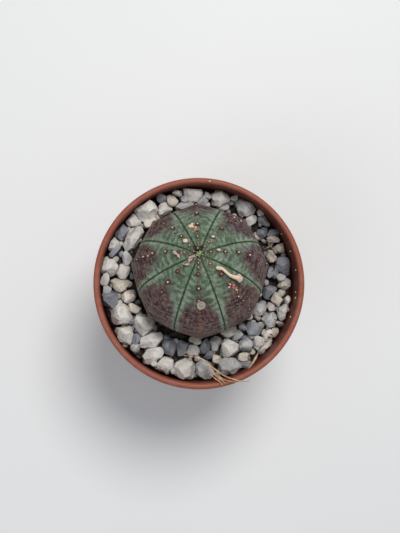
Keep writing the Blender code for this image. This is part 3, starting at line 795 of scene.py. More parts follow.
def pot_profile():
    """The pot's section, from the lip over the outside, under the floor and back up the inside."""
    bead = LIP_WIDTH / 2
    lip = []
    for step in range(13):
        angle = math.pi * (1.0 - step / 12)
        lip.append((RIM_RADIUS - bead + bead * math.cos(angle), POT_HEIGHT - bead + bead * math.sin(angle)))
    collar = RIM_RADIUS - LIP_OVERHANG
    collar_bottom = POT_HEIGHT - COLLAR_HEIGHT
    corners = [
        lip[-1],
        (RIM_RADIUS - LIP_TUCK, POT_HEIGHT - LIP_SKIRT_SHARE * LIP_WIDTH),
        (collar, POT_HEIGHT - LIP_DEPTH_SHARE * LIP_WIDTH),
        (collar - DRAFT, collar_bottom),
        (collar - COLLAR_STEP, collar_bottom - COLLAR_STEP_DROP),
        (FOOT_RADIUS, 2 * FOOT_CORNER),
        (FOOT_RADIUS - FOOT_CORNER, 0.0),
        (FOOT_RADIUS - FOOT_RING_WIDTH, 0.0),
        (FOOT_RADIUS - FOOT_RING_WIDTH - DRAFT, FLOOR_RISE),
        (CENTRE_HOLE_RADIUS, FLOOR_RISE),
        (CENTRE_HOLE_RADIUS, FLOOR_RISE + FLOOR_THICKNESS),
        *inner_profile()[::-1],
    ]
    points = list(lip)
    for corner in range(1, len(corners) - 1):
        points += rounded(corners, corner, POT_CORNER)
    return points


def drill_pot(pot):
    """Cut the drainage holes and the notches in the foot ring."""
    cutters = []
    for index in range(DRAIN_HOLES + FOOT_NOTCHES):
        drain = index < DRAIN_HOLES
        count = DRAIN_HOLES if drain else FOOT_NOTCHES
        angle = 2 * math.pi * (index % DRAIN_HOLES + 0.5) / count
        radius = DRAIN_HOLE_RADIUS if drain else FOOT_NOTCH_RADIUS
        depth = 4 * (FLOOR_RISE + FLOOR_THICKNESS) if drain else 6 * FOOT_RING_WIDTH
        distance = DRAIN_CIRCLE if drain else FOOT_RADIUS
        mesh = bpy.data.meshes.new("cutter")
        size = {"radius1": radius, "radius2": radius, "depth": depth}
        with editing(mesh) as bm:
            bmesh.ops.create_cone(bm, cap_ends=True, segments=HOLE_SIDES, **size)
        cutter = new_object("cutter", mesh)
        cutter.rotation_euler = (0.0, 0.0 if drain else math.pi / 2, angle)
        cutter.location = (distance * math.cos(angle), distance * math.sin(angle), 0.0)
        cut = pot.modifiers.new("Cut", "BOOLEAN")
        cut.operation = "DIFFERENCE"
        cut.solver = "EXACT"
        cut.object = cutter
        cutters.append(cutter)
    return cutters


def close_slits(mesh):
    """Merge the slivers that cuts leave in a mesh, and fill the slits beside them."""
    with editing(mesh) as bm:
        bmesh.ops.remove_doubles(bm, verts=bm.verts, dist=SLIVER)
        bmesh.ops.dissolve_degenerate(bm, edges=bm.edges, dist=SLIVER)
        bmesh.ops.holes_fill(bm, edges=[edge for edge in bm.edges if edge.is_boundary], sides=0)


def build_pot():
    """The moulded nursery pot."""
    profile = np.array(pot_profile())
    rings = ring_of(circle(POT_STEPS), profile[:, :1], profile[:, 1:])
    verts, faces = skin(np.vstack([rings, rings[:1]]))
    shell = mesh_of("pot_shell", verts, faces)
    with editing(shell) as bm:
        bmesh.ops.remove_doubles(bm, verts=bm.verts, dist=WELD)
        bmesh.ops.recalc_face_normals(bm, faces=bm.faces)
    pot = new_object("pot_shell", shell)
    cutters = drill_pot(pot)
    mesh = evaluated_mesh(pot, "nursery_pot")
    close_slits(mesh)
    for cutter in cutters:
        bpy.data.objects.remove(cutter, do_unlink=True)
    mesh.shade_smooth()
    mesh.set_sharp_from_angle(angle=SHARP_ANGLE)
    points = read_points(mesh)
    radii = np.hypot(points[:, 0], points[:, 1])
    walls = np.array([cavity_radius(height) for height in points[:, 2]])
    below = smooth((POT_HEIGHT - LIP_WIDTH / 3 - points[:, 2]) / (0.7 * MM))
    below = below * (points[:, 2] > FLOOR_RISE + FLOOR_THICKNESS / 2)
    # The inside mask marks the inner wall for its soil stain and painted shade.
    store(mesh, "inside", (radii < walls + WALL / 3) * below)
    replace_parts(add_piece("nursery_pot", mesh, plastic_finish()), "pot")


# Euphorbia


def lean_matrix():
    """The turn that carries the upright plant to its lean."""
    axis = Vector((-math.sin(LEAN_BEARING), math.cos(LEAN_BEARING), 0.0))
    return np.array(Matrix.Rotation(LEAN, 3, axis))


def to_pot(points):
    """Carry points from the plant's upright frame to the pot's."""
    return points @ lean_matrix().T + BODY_CENTRE


def rib_share(bearing):
    """0 on a rib's crest to 1 in its groove."""
    marks = [RIB_GROOVES[-1] - 360.0]
    values = [1.0]
    for crest, groove in zip(RIB_CRESTS, RIB_GROOVES):
        marks += [crest, groove]
        values += [0.0, 1.0]
    marks.append(RIB_CRESTS[0] + 360.0)
    values.append(0.0)
    return np.interp(np.asarray(bearing) % 360.0, marks, values)


def smooth(value):
    """Ease from 0 to 1."""
    held = np.clip(value, 0.0, 1.0)
    return held * held * (3.0 - 2.0 * held)


def arc_way(polar):
    """Distance down the skin from the growing point, in metres."""
    steps = np.radians(np.linspace(0.0, 180.0, 361))
    height = np.where(steps < math.pi / 2, CROWN_HEIGHT, BELLY_DEPTH)
    pace = np.hypot(BODY_RADIUS * np.cos(steps), height * np.sin(steps))
    way = np.concatenate([[0.0], np.cumsum((pace[1:] + pace[:-1]) / 2 * np.diff(steps))])
    return np.interp(polar, np.degrees(steps), way)


def growth_bands(polars, bearings):
    """The arched growth bands across each rib, from -1 in a hollow to 1 on a swell."""
    ribs = rib_places(bearings)
    arch = BAND_ARCH * rib_share(bearings) ** 2
    bands = np.zeros((len(polars), len(bearings)))
    for row, way in enumerate(arc_way(polars)):
        for column, rib in enumerate(ribs):
            spot = Vector((way / BAND_PATCH, 0.9 * rib, 0.0))
            drift = BAND_DRIFT * noise.noise(spot) + BAND_RIPPLE * noise.noise(spot * 3.1)
            strength = 0.66 + 1.7 * noise.noise(spot * 1.9 + Vector((0.0, 0.0, 9.0)))
            wave = math.sin(2 * math.pi * (way + arch[column] + drift) / BAND_SPACING)
            bands[row, column] = min(max(strength, 0.05), 1.0) * wave
    return bands


def half_rib(polar, bearing):
    """Half the width of a rib, from its crest to its groove, at a place on the skin."""
    starts = np.array([RIB_GROOVES[-1] - 360.0, *RIB_GROOVES])
    place = np.asarray(bearing) % 360.0
    place = np.where(place > RIB_GROOVES[-1], place - 360.0, place)
    index = np.clip(np.searchsorted(starts, place, side="right") - 1, 0, len(RIB_CRESTS) - 1)
    crest = np.array(RIB_CRESTS)[index]
    after = np.array(RIB_GROOVES)[index]
    span = np.where(place < crest, crest - starts[index], after - crest)
    return BODY_RADIUS * np.sin(np.radians(polar)) * np.radians(span)


def groove_gap(polar, bearing):
    """How far a place on the skin is from its groove."""
    return (1.0 - rib_share(bearing)) * half_rib(polar, bearing)


def body_points(polar, bearing):
    """Points on the plant's skin in its upright frame, and the directions out of it."""
    angle = np.radians(polar)
    turn = np.radians(bearing)
    height = np.where(polar < 90.0, CROWN_HEIGHT, BELLY_DEPTH)
    around = np.stack([np.cos(turn), np.sin(turn), np.zeros_like(turn)], axis=-1)
    upward = np.array((0.0, 0.0, 1.0))
    points = around * (BODY_RADIUS * np.sin(angle))[..., None] + upward * (height * np.cos(angle))[..., None]
    normals = around * (np.sin(angle) / BODY_RADIUS)[..., None] + upward * (np.cos(angle) / height)[..., None]
    normals /= np.linalg.norm(normals, axis=-1, keepdims=True)
    share = rib_share(bearing)
    fade = np.sin(angle) ** 0.6 * smooth((NECK_POLAR - polar) / NECK_FADE)
    push = -fade * (RIB_DEPTH * share + 4.0 * CHEEK_HOLLOW * share * (1.0 - share))
    crease = np.exp(-((groove_gap(polar, bearing) / CREASE_WIDTH) ** 2))
    push -= CREASE_DEPTH * crease * np.clip(fade * 1.8, 0.0, 1.0)
    keel = np.exp(-((share / KEEL_SHARE) ** 2))
    push += KEEL_RISE * keel * smooth((polar - KEEL_START) / KEEL_RUN) * fade
    points = points + normals * push[..., None]
    points[..., 2] -= CROWN_DIMPLE * np.exp(-((polar / DIMPLE_REACH) ** 2))
    return points, normals


def on_skin(polar, bearing, lift=0.0):
    """One place over the skin and the direction out of it, in the pot's frame."""
    point, normal = body_points(np.array([float(polar)]), np.array([float(bearing)]))
    facing = lean_matrix() @ normal[0]
    return to_pot(point)[0] + facing * lift, facing


def rib_bearings():
    """Bearings round the plant, closer together towards the grooves."""
    inward = 1.0 - (1.0 - np.arange(HALF_RIB_STEPS) / HALF_RIB_STEPS) ** 1.45
    outward = 1.0 - np.append(1.0, inward[1:][::-1])
    bearings = []
    for index, (crest, groove) in enumerate(zip(RIB_CRESTS, RIB_GROOVES)):
        following = RIB_CRESTS[(index + 1) % len(RIB_CRESTS)]
        bearings.append(crest + (groove - crest) * inward)
        bearings.append(groove + (following - groove) % 360.0 * outward)
    return np.concatenate(bearings)


def rib_places(bearings):
    """A number that runs from crest to crest in steps of two, so that each rib has its own pattern."""
    turns = np.arange(len(bearings)) / (2 * HALF_RIB_STEPS)
    index = np.round(turns)
    return 2 * index + np.sign(turns - index) * rib_share(bearings)


def eye_places():
    """Where each flower eye sits, the way it faces and its radius."""
    rows = [(*on_skin(polar, bearing), radius * MM) for polar, bearing, radius in EYES]
    places, facings, sizes = zip(*rows)
    return np.array(places), np.array(facings), np.array(sizes)


def build_body(material):
    """The ribbed body and its root."""
    bearings = rib_bearings()
    polars = np.append(np.linspace(1.2, 95.0, CROWN_RINGS), np.linspace(96.8, NECK_POLAR, BELLY_RINGS))
    grid_polar, grid_bearing = np.meshgrid(polars, bearings, indexing="ij")
    rings, normals = body_points(grid_polar, grid_bearing)
    wave = []
    for place in rings.reshape(-1, 3):
        spot = Vector(place) / MM
        wave.append(0.09 * noise.noise(spot / 4.5) + 0.035 * noise.noise(spot / 1.3))
    calm = np.clip(np.sin(np.radians(grid_polar)) * 3.0, 0.0, 1.0)
    bands = growth_bands(polars, bearings)
    push = (np.array(wave).reshape(grid_polar.shape) * MM + bands * BAND_HEIGHT) * calm
    rings = rings + normals * push[..., None]
    shares = np.linspace(0.0, 1.0, ROOT_RINGS + 1)[1:-1]
    neck = rings[-1]
    roots = []
    for share in shares:
        taper = 1.0 - share**1.4
        roots.append(neck * (taper, taper, 1.0) + np.array((0.0, 0.0, -ROOT_LENGTH * share)))
    every = np.concatenate([rings, np.array(roots)])
    top = body_points(np.array([0.0]), np.array([0.0]))[0][0]
    tip = np.array((0.0, 0.0, neck[:, 2].mean() - ROOT_LENGTH))
    verts, faces = skin(every, top, tip)
    verts = to_pot(verts)
    crevice = np.zeros(len(verts))
    for polar, bearing, radius in CREVICES:
        away = np.linalg.norm(verts - on_skin(polar, bearing)[0], axis=1)
        crevice = np.maximum(crevice, np.exp(-((away / (radius * MM)) ** 4)))
    verts = verts - crevice[:, None] * lean_matrix()[:, 2] * CREVICE_DEPTH
    mesh = mesh_of("euphorbia_body", verts, faces)
    # The crevice mask also sets the painted shade in the crown's hollows.
    store(mesh, "crevice", crevice)

    way = np.concatenate([arc_way(polars), arc_way(NECK_POLAR) + shares * ROOT_LENGTH])
    way = np.repeat(way, len(bearings)) / MM
    end_way = (arc_way(NECK_POLAR) + ROOT_LENGTH) / MM
    gap = groove_gap(grid_polar, grid_bearing)
    gap = np.concatenate([gap, np.repeat(gap[-1:], len(shares), axis=0)]).ravel()
    bands = np.concatenate([bands, np.zeros((len(shares), len(bearings)))])
    around = (bearings[:, None] - np.array(RIB_CRESTS) + 180.0) % 360.0 - 180.0
    nearest = np.argmin(np.abs(around), axis=1)
    line = np.exp(-((rib_share(bearings) / RUST_WIDTH) ** 2)) * np.array(RIB_RUST)[nearest]
    fade = smooth((way - 17.0) / 6.0) * smooth((60.0 - way) / 10.0)
    count = len(every)
    rows = (
        # name, values, value at the growing point, value at the root's tip
        ("rib_share", np.tile(rib_share(bearings), count), 0.5, 0.5),
        ("rib_place", np.tile(rib_places(bearings), count), 0.0, 0.0),
        ("apex_way", way, 0.0, end_way),
        ("groove_gap", gap / MM, 0.0, 0.0),
        ("growth_band", bands, 0.0, 0.0),
        ("rust", np.tile(line, count) * fade, 0.0, 0.0),
    )
    for name, values, at_top, at_tip in rows:
        store(mesh, name, np.append(values, (at_top, at_tip)))
    places, _, sizes = eye_places()
    # Painted shade round each eye, kept on the body's points.
    eye_shade = np.zeros(len(verts))
    for place, size in zip(places, sizes):
        away = np.linalg.norm(verts - place, axis=1)
        eye_shade = np.maximum(eye_shade, np.exp(-((away / (size * HALO_REACH)) ** 4)))
    store(mesh, "eye_shade_ring", eye_shade)
    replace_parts(add_piece("euphorbia_body", mesh, material), "euphorbia")


def eye_mesh(name, rng):
    """One flower eye: a low dome of dark scales with a small knob off its middle."""
    profile = (
        (1.00, -0.35, 0.0),
        (1.02, 0.00, 0.0),
        (0.94, 0.30, 0.0),
        (0.76, 0.54, 0.0),
        (0.54, 0.62, 0.05),
        (0.40, 0.58, 0.3),
        (0.37, 0.72, 0.8),
        (0.28, 0.86, 1.0),
        (0.12, 0.92, 1.0),
    )
    sides = 14
    angles = circle(sides)
    scale_turn = rng.uniform(0.0, RANDOM_TURN)
    off = rng.uniform(-0.16, 0.16, 2)
    rings = []
    tips = []
    for radius, height, tip in profile:
        lobes = 1.0 + 0.16 * np.sin(angles * 5 + scale_turn) * (1.0 - tip) + rng.uniform(-0.07, 0.07, sides)
        ring = ring_of(angles, radius * lobes, height)
        ring[:, :2] += off * max(height, 0.0)
        ring[:, 2] += rng.uniform(-0.05, 0.05, sides)
        rings.append(ring)
        tips += [tip] * sides
    end = np.array((off[0] * 0.9, off[1] * 0.9, 0.93))
    verts, faces = skin(np.array(rings), np.array((0.0, 0.0, -0.35)), end)
    mesh = mesh_of(name, verts, faces)
    store(mesh, "tip", np.append(tips, (0.0, 1.0)))
    return mesh


def random_number(tree, low, high, seed):
    """A random number between two others."""
    inputs = {2: low, 3: high, 8: seed}
    return node(tree, "FunctionNodeRandomValue", inputs, data_type="FLOAT").outputs[1]


def instance_tree(name, scatter):
    """Nodes that set shapes on points: the mesh's own points, or points scattered on its faces."""
    tree = bpy.data.node_groups.new(name, "GeometryNodeTree")
    sockets = tree.interface
    sockets.new_socket("Geometry", in_out="INPUT", socket_type="NodeSocketGeometry")
    sockets.new_socket("Shapes", in_out="INPUT", socket_type="NodeSocketCollection")
    sockets.new_socket("Finish", in_out="INPUT", socket_type="NodeSocketMaterial")
    for label in ("Spacing", "Smallest", "Largest"):
        sockets.new_socket(label, in_out="INPUT", socket_type="NodeSocketFloat")
    sockets.new_socket("Seed", in_out="INPUT", socket_type="NodeSocketInt")
    sockets.new_socket("Geometry", in_out="OUTPUT", socket_type="NodeSocketGeometry")
    given = tree.nodes.new("NodeGroupInput").outputs
    shapes = node(tree, "GeometryNodeCollectionInfo", {0: given["Shapes"], 1: True, 2: True}).outputs[0]
    if scatter:
        inputs = {
            "Mesh": given["Geometry"],
            "Distance Min": given["Spacing"],
            "Density Max": POINT_DENSITY,
            "Seed": given["Seed"],
        }
        spread = node(tree, "GeometryNodeDistributePointsOnFaces", inputs, distribute_method="POISSON")
        points = spread.outputs["Points"]
        size = random_number(tree, given["Smallest"], given["Largest"], given["Seed"])
        inputs = {0: (-3.1, -3.1, -3.1), 1: (3.1, 3.1, 3.1), 8: given["Seed"]}
        turn = node(tree, "FunctionNodeRandomValue", inputs, data_type="FLOAT_VECTOR").outputs[0]
    else:
        points = given["Geometry"]
        size, facing = (
            node(tree, "GeometryNodeInputNamedAttribute", {0: label}, data_type=kind).outputs[0]
            for label, kind in (("size", "FLOAT"), ("facing", "FLOAT_VECTOR"))
        )
        turn = node(tree, "FunctionNodeAlignRotationToVector", {"Vector": facing}, axis="Z").outputs[0]
    inputs = {"Points": points, "Instance": shapes, "Rotation": turn, "Scale": size, "Pick Instance": True}
    placed = node(tree, "GeometryNodeInstanceOnPoints", inputs).outputs[0]
    if scatter:
        inputs = {"Geometry": placed, "Name": "tone", "Value": random_number(tree, 0.0, 1.0, 5)}
        kinds = {"data_type": "FLOAT", "domain": "INSTANCE"}
        placed = node(tree, "GeometryNodeStoreNamedAttribute", inputs, **kinds).outputs[0]
    real = node(tree, "GeometryNodeRealizeInstances", {0: placed}).outputs[0]
    inputs = {"Geometry": real, "Material": given["Finish"]}
    dressed = node(tree, "GeometryNodeSetMaterial", inputs).outputs[0]
    result = tree.nodes.new("NodeGroupOutput")
    tree.links.new(dressed, result.inputs[0])
    return tree


def run_tree(carrier, tree, values, name):
    """Apply a tree of nodes to an object and return the plain mesh it makes."""
    modifier = carrier.modifiers.new("Nodes", "NODES")
    modifier.node_group = tree
    for item in tree.interface.items_tree:
        if item.in_out == "INPUT" and item.name in values:
            modifier[item.identifier] = values[item.name]
    mesh = evaluated_mesh(carrier, name)
    mesh.shade_smooth()
    return mesh


def shape_collection(name, meshes):
    """A collection of shapes for the trees to draw on."""
    collection = bpy.data.collections.new(name)
    for index, mesh in enumerate(meshes):
        collection.objects.link(bpy.data.objects.new(f"{name}_{index}", mesh))
    return collection


def clear_shapes(collection):
    """Remove the shapes once they have been used."""
    for obj in list(collection.objects):
        bpy.data.objects.remove(obj, do_unlink=True)
    bpy.data.collections.remove(collection)


def build_eyes():
    """The flower eyes along every crest."""
    rng = np.random.default_rng(3)
    places, facings, sizes = eye_places()
    mesh = plain_mesh("eye_places", places, [])
    store(mesh, "size", sizes * rng.uniform(0.94, 1.06, len(sizes)))
    store(mesh, "young", [1.0 - float(smooth((polar - 9.0) / 9.0)) for polar, _, _ in EYES])
    store(mesh, "pale", rng.uniform(0.0, 1.0, len(sizes)))
    layer = mesh.attributes.new("facing", "FLOAT_VECTOR", "POINT")
    layer.data.foreach_set("vector", facings.ravel())
    shapes = shape_collection("eye_shapes", [eye_mesh(f"eye_{index}", rng) for index in range(7)])
    finish = eye_finish()
    tree = instance_tree("Flower eyes", scatter=False)
    carrier = new_object("eye_places", mesh)
    made = run_tree(carrier, tree, {"Shapes": shapes, "Finish": finish}, "flower_eyes")
    clear_shapes(shapes)
    add_piece("flower_eyes", made, finish)


def lump(radius, rng, cuts=9, level=3, low=0.62, high=0.92):
    """Points and faces of a broken chip: a ball pressed flat on random sides."""
    bm = bmesh.new()
    bmesh.ops.create_icosphere(bm, subdivisions=level, radius=1.0)
    points = np.array([vert.co for vert in bm.verts])
    faces = [tuple(vert.index for vert in face.verts) for face in bm.faces]
    bm.free()
    for _ in range(cuts):
        way = rng.normal(size=3)
        way /= np.linalg.norm(way)
        over = np.clip(points @ way - rng.uniform(low, high), 0.0, None)
        points = points - over[:, None] * way
    return points * np.asarray(radius), faces


def join_shapes(name, parts):
    """One mesh from (points, faces, tone) parts."""
    verts, faces, tones = [], [], []
    for points, own, tone in parts:
        base = sum(len(part) for part in verts)
        verts.append(points)
        faces += [tuple(index + base for index in face) for face in own]
        tones += [tone] * len(points)
    mesh = plain_mesh(name, np.vstack(verts), faces)
    mesh.shade_smooth()
    store(mesh, "tone", tones)
    return mesh


def frame_towards(facing, spin=0.0):
    """Axes whose third points along a direction."""
    axes = Vector(facing).to_track_quat("Z", "Y").to_matrix() @ Matrix.Rotation(spin, 3, "Z")
    return np.array(axes)


def skin_lump(place, lift, size, rng, cuts, level):
    """A lump set over a place on the skin and turned at random. Its lift and size are in millimetres."""
    centre, facing = on_skin(*place, lift * MM)
    points, faces = lump(np.array(size) * MM, rng, cuts=cuts, level=level)
    axes = frame_towards(facing, rng.uniform(0.0, RANDOM_TURN))
    return points @ axes.T + centre, faces


def build_crumbs():
    """Crumbs of dried flower on the ribs, and the rusty dots down the front crest."""
    rng = np.random.default_rng(11)
    rows = [
        # polar, bearing, length, width, height, tone
        (27.6, 104.5, 1.15, 0.85, 0.60, 0.62),
        (29.6, 101.0, 0.75, 0.60, 0.50, 0.58),
        (26.2, 101.2, 0.62, 0.50, 0.50, 0.66),
        (28.8, 98.2, 0.50, 0.42, 0.40, 0.40),
        (22.8, 97.5, 0.95, 0.70, 0.60, 0.48),
        (21.0, 98.6, 0.60, 0.45, 0.45, 0.30),
        (24.6, 96.4, 0.66, 0.45, 0.45, 0.86),
        (34.6, 316.2, 0.78, 0.55, 0.50, 0.34),
        (36.6, 313.8, 0.85, 0.42, 0.45, 0.62),
        (35.6, 318.6, 0.60, 0.50, 0.45, 0.22),
        (38.6, 319.2, 0.78, 0.60, 0.50, 0.95),
        (39.6, 316.6, 0.60, 0.50, 0.42, 0.97),
        (41.6, 318.6, 0.62, 0.50, 0.42, 0.26),
        (43.4, 318.0, 0.60, 0.45, 0.42, 0.70),
        (49.4, 315.0, 0.40, 0.34, 0.35, 0.72),
        (38.6, 268.6, 0.42, 0.36, 0.35, 0.35),
        (18.8, 53.2, 0.85, 0.62, 0.55, 0.58),
        (15.6, 134.4, 1.05, 1.00, 0.95, 0.60),
        (35.0, 131.0, 0.45, 0.40, 0.35, 0.30),
        (46.0, 176.0, 0.40, 0.35, 0.30, 0.60),
        (16.2, 14.0, 0.90, 0.70, 0.60, 0.62),
        (57.0, 52.5, 0.55, 0.42, 0.40, 0.60),
        (61.5, 46.0, 0.50, 0.42, 0.40, 0.60),
    ]
    for polar in np.arange(47.0, 90.0, 2.3):
        rows.append((polar, 270.3 + rng.uniform(-0.6, 0.6), 0.30, 0.22, 0.18, 0.22))
    for _ in range(46):
        polar = rng.uniform(3.2, 17.0)
        bearing = RIB_CRESTS[rng.integers(len(RIB_CRESTS))] + rng.normal(0.0, 3.0) * 10.0 / polar
        size = rng.uniform(0.14, 0.30)
        rows.append((polar, bearing, size, size * 0.7, size * 0.6, rng.choice((0.05, 0.2, 0.6, 0.66, 0.9))))
    parts = []
    for polar, bearing, length, width, height, tone in rows:
        size = (length, width, height)
        parts.append((*skin_lump((polar, bearing), 0.3 * height, size, rng, 7, 2), tone))
    add_piece("flower_crumbs", join_shapes("flower_crumbs", parts), crumb_finish())


def bud_rings(out, lean, height, width):
    """One plump bud that stands off the middle and leans outwards, in millimetres."""
    sides = 10
    angles = circle(sides)
    profile = ((0.70, -0.35), (0.95, 0.0), (1.00, 0.35), (0.80, 0.66), (0.42, 0.90))
    rings = []
    for radius, rise in profile:
        ring = np.empty((sides, 3))
        ring[:, 0] = out + lean * rise * height + radius * width * 0.8 * np.cos(angles)
        ring[:, 1] = radius * width * np.sin(angles)
        ring[:, 2] = rise * height + 0.30
        rings.append(ring)
    end = np.array((out + lean * height, 0.0, height + 0.30))
    return np.array(rings), rings[0].mean(axis=0), end


def build_growing_tip():
    """The cluster of new growth in the crown's dimple."""
    rng = np.random.default_rng(5)
    verts, faces, tips = [], [], []
    centre, facing = on_skin(0.0, 0.0)
    axes = frame_towards(facing)
    rows = [(0.0, 0.34)] * 2 + [(0.50, 0.36)] * 5 + [(0.98, 0.30)] * 7
    for index, (out, width) in enumerate(rows):
        height = (0.62 - 0.22 * out) * rng.uniform(0.8, 1.2)
        width = width * rng.uniform(0.8, 1.15)
        rings, start, end = bud_rings(out + 0.1 * (index % 2), 0.2 + 0.2 * out, height, width)
        points, own = skin(rings, start, end)
        turn = np.array(Matrix.Rotation(index * 2.4 + rng.uniform(-0.2, 0.2), 3, "Z"))
        base = sum(len(part) for part in verts)
        verts.append((points @ turn.T * MM) @ axes.T + centre)
        faces += [tuple(item + base for item in face) for face in own]
        tips += list(np.repeat((0.0, 0.15, 0.45, 0.80, 1.0), rings.shape[1])) + [0.0, 1.0]
    mesh = mesh_of("growing_tip", np.vstack(verts), faces)
    store(mesh, "tip", tips)
    add_piece("growing_tip", mesh, bud_finish())


def build_scar():
    """The flat round scar left on the front rib."""
    place, facing = on_skin(42.8, 271.6)
    axes = frame_towards(facing)
    angles = circle(36)
    profile = (
        (1.52, -0.35),
        (1.72, 0.05),
        (1.70, 0.32),
        (1.54, 0.44),
        (1.36, 0.38),
        (1.10, 0.30),
        (0.66, 0.34),
        (0.30, 0.40),
    )
    rings = []
    for radius, height in profile:
        lobes = 1.0 + 0.03 * np.sin(angles * 3 + 1.0) + 0.02 * np.sin(angles * 7)
        grooves = 0.05 * np.sin(angles * 11 + radius * 3.0)
        rings.append(ring_of(angles, radius * lobes, height + grooves))
    verts, faces = skin(np.array(rings), np.array((0.0, 0.0, -0.35)), np.array((0.0, 0.0, 0.36)))
    mesh = mesh_of("stalk_scar", (verts * MM) @ axes.T + place, faces)
    cork = dried_finish("scar_cork", (0.400, 0.370, 0.300), (0.240, 0.215, 0.170))
    add_piece("stalk_scar", mesh, cork)


# Dried stalks and straws


def smooth_path(rows, finer=6):
    """Rows of numbers as a smooth run through them."""
    rows = np.asarray(rows, dtype=float)
    padded = np.vstack([2 * rows[0] - rows[1], rows, 2 * rows[-1] - rows[-2]])
    made = []
    for index in range(1, len(padded) - 2):
        a, b, c, d = padded[index - 1 : index + 3]
        for step in range(finer):
            t = step / finer
            square = (2 * a - 5 * b + 4 * c - d) * t * t
            cube = (3 * b - a - 3 * c + d) * t**3
            made.append(0.5 * (2 * b + (c - a) * t + square + cube))
    made.append(rows[-1])
    return np.array(made)


def tube(name, centres, radii, sides=14, flat=1.0):
    """A closed round bar along points, with its own radius at each."""
    tangents = np.gradient(centres, axis=0)
    tangents /= np.linalg.norm(tangents, axis=1, keepdims=True)
    side = np.cross(tangents[0], (0.0, 0.0, 1.0))
    side /= np.linalg.norm(side)
    angles = circle(sides)
    rings = []
    for centre, tangent, radius in zip(centres, tangents, radii):
        side = side - tangent * (side @ tangent)
        side /= np.linalg.norm(side)
        other = np.cross(tangent, side)
        wide = np.cos(angles)[:, None] * side
        high = flat * np.sin(angles)[:, None] * other
        rings.append(centre + radius * (wide + high))
    first = centres[0] - tangents[0] * radii[0] * 0.5
    last = centres[-1] + tangents[-1] * radii[-1] * 0.5
    verts, faces = skin(np.array(rings), first, last)
    return mesh_of(name, verts, faces)


def joined(name, meshes):
    """Several meshes as one."""
    made = bpy.data.meshes.new(name)
    with editing(made) as bm:
        for mesh in meshes:
            bm.from_mesh(mesh)
            bpy.data.meshes.remove(mesh)
    made.shade_smooth()
    return made


def strand(name, rows, thickness, offset, phase, turns):
    """One strand of a stalk, wound round the stalk's middle line."""
    path = smooth_path(rows)
    length = len(path) - 1
    centres = []
    for step, (polar, bearing, lift, radius) in enumerate(path):
        angle = phase + 2 * math.pi * turns * step / length
        place, facing = on_skin(polar, bearing, (lift + offset * radius * math.sin(angle)) * MM)
        ahead = np.array(on_skin(polar + 0.01, bearing)[0]) - on_skin(polar - 0.01, bearing)[0]
        across = np.cross(facing, ahead / np.linalg.norm(ahead))
        centres.append(place + across * offset * radius * math.cos(angle) * MM)
    return tube(name, np.array(centres), path[:, 3] * thickness * MM, sides=14)


def build_stalk(name, rows, finish, node_name, seed, strands):
    """One dried stalk lying over the ribs: a single bar, or strands twisted together."""
    parts = []
    thickness, offset = (1.0, 0.0) if strands == 1 else (0.62, 0.55)
    for index in range(strands):
        phase = 2 * math.pi * index / strands
        parts.append(strand(f"{name}_{index}", rows, thickness, offset, phase, STALK_TWIST))
    mesh = joined(name, parts)
    roughen(mesh, ((1.2 * MM, 0.14 * MM), (0.45 * MM, 0.07 * MM)), seed)
    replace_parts(add_piece(name, mesh, finish), node_name)


def build_stalk_end(finish):
    """The split remains of the flower on the long stalk's outer end."""
    rng = np.random.default_rng(8)
    rows = (
        (36.6, 331.6, 0.95, 0.80, 0.75),
        (38.2, 327.4, 0.95, 0.78, 0.70),
        (38.9, 331.0, 0.80, 0.75, 0.70),
        (35.6, 327.6, 0.75, 0.62, 0.60),
        (39.6, 328.8, 0.62, 0.55, 0.55),
    )
    parts = []
    for polar, bearing, length, width, height in rows:
        size = (length, width, height)
        parts.append((*skin_lump((polar, bearing), STALK_END_LIFT, size, rng, 8, 3), 0.5))
    mesh = join_shapes("long_stalk_flower", parts)
    roughen(mesh, ((0.7 * MM, 0.10 * MM),), 61.0)
    add_piece("long_stalk_flower", mesh, finish)


def build_stalks():
    """The three dried flower stalks."""
    cream = dried_finish("dried_stalk", (0.800, 0.630, 0.490), (0.640, 0.450, 0.330))
    pinkish = dried_finish("withered_stalk", (0.560, 0.430, 0.370), (0.300, 0.200, 0.170))
    flower = dried_finish("withered_flower", (0.740, 0.570, 0.470), (0.520, 0.330, 0.270))
    build_stalk("long_flower_stalk", LONG_STALK, cream, "long_dried_stalk", 1.0, 1)
    build_stalk("curled_flower_stalk", CURLED_STALK, pinkish, "curled_dried_stalk", 2.0, 2)
    build_stalk("short_flower_stalk", SHORT_STALK, flower, "short_dried_stalk", 3.0, 2)
    build_stalk_end(flower)


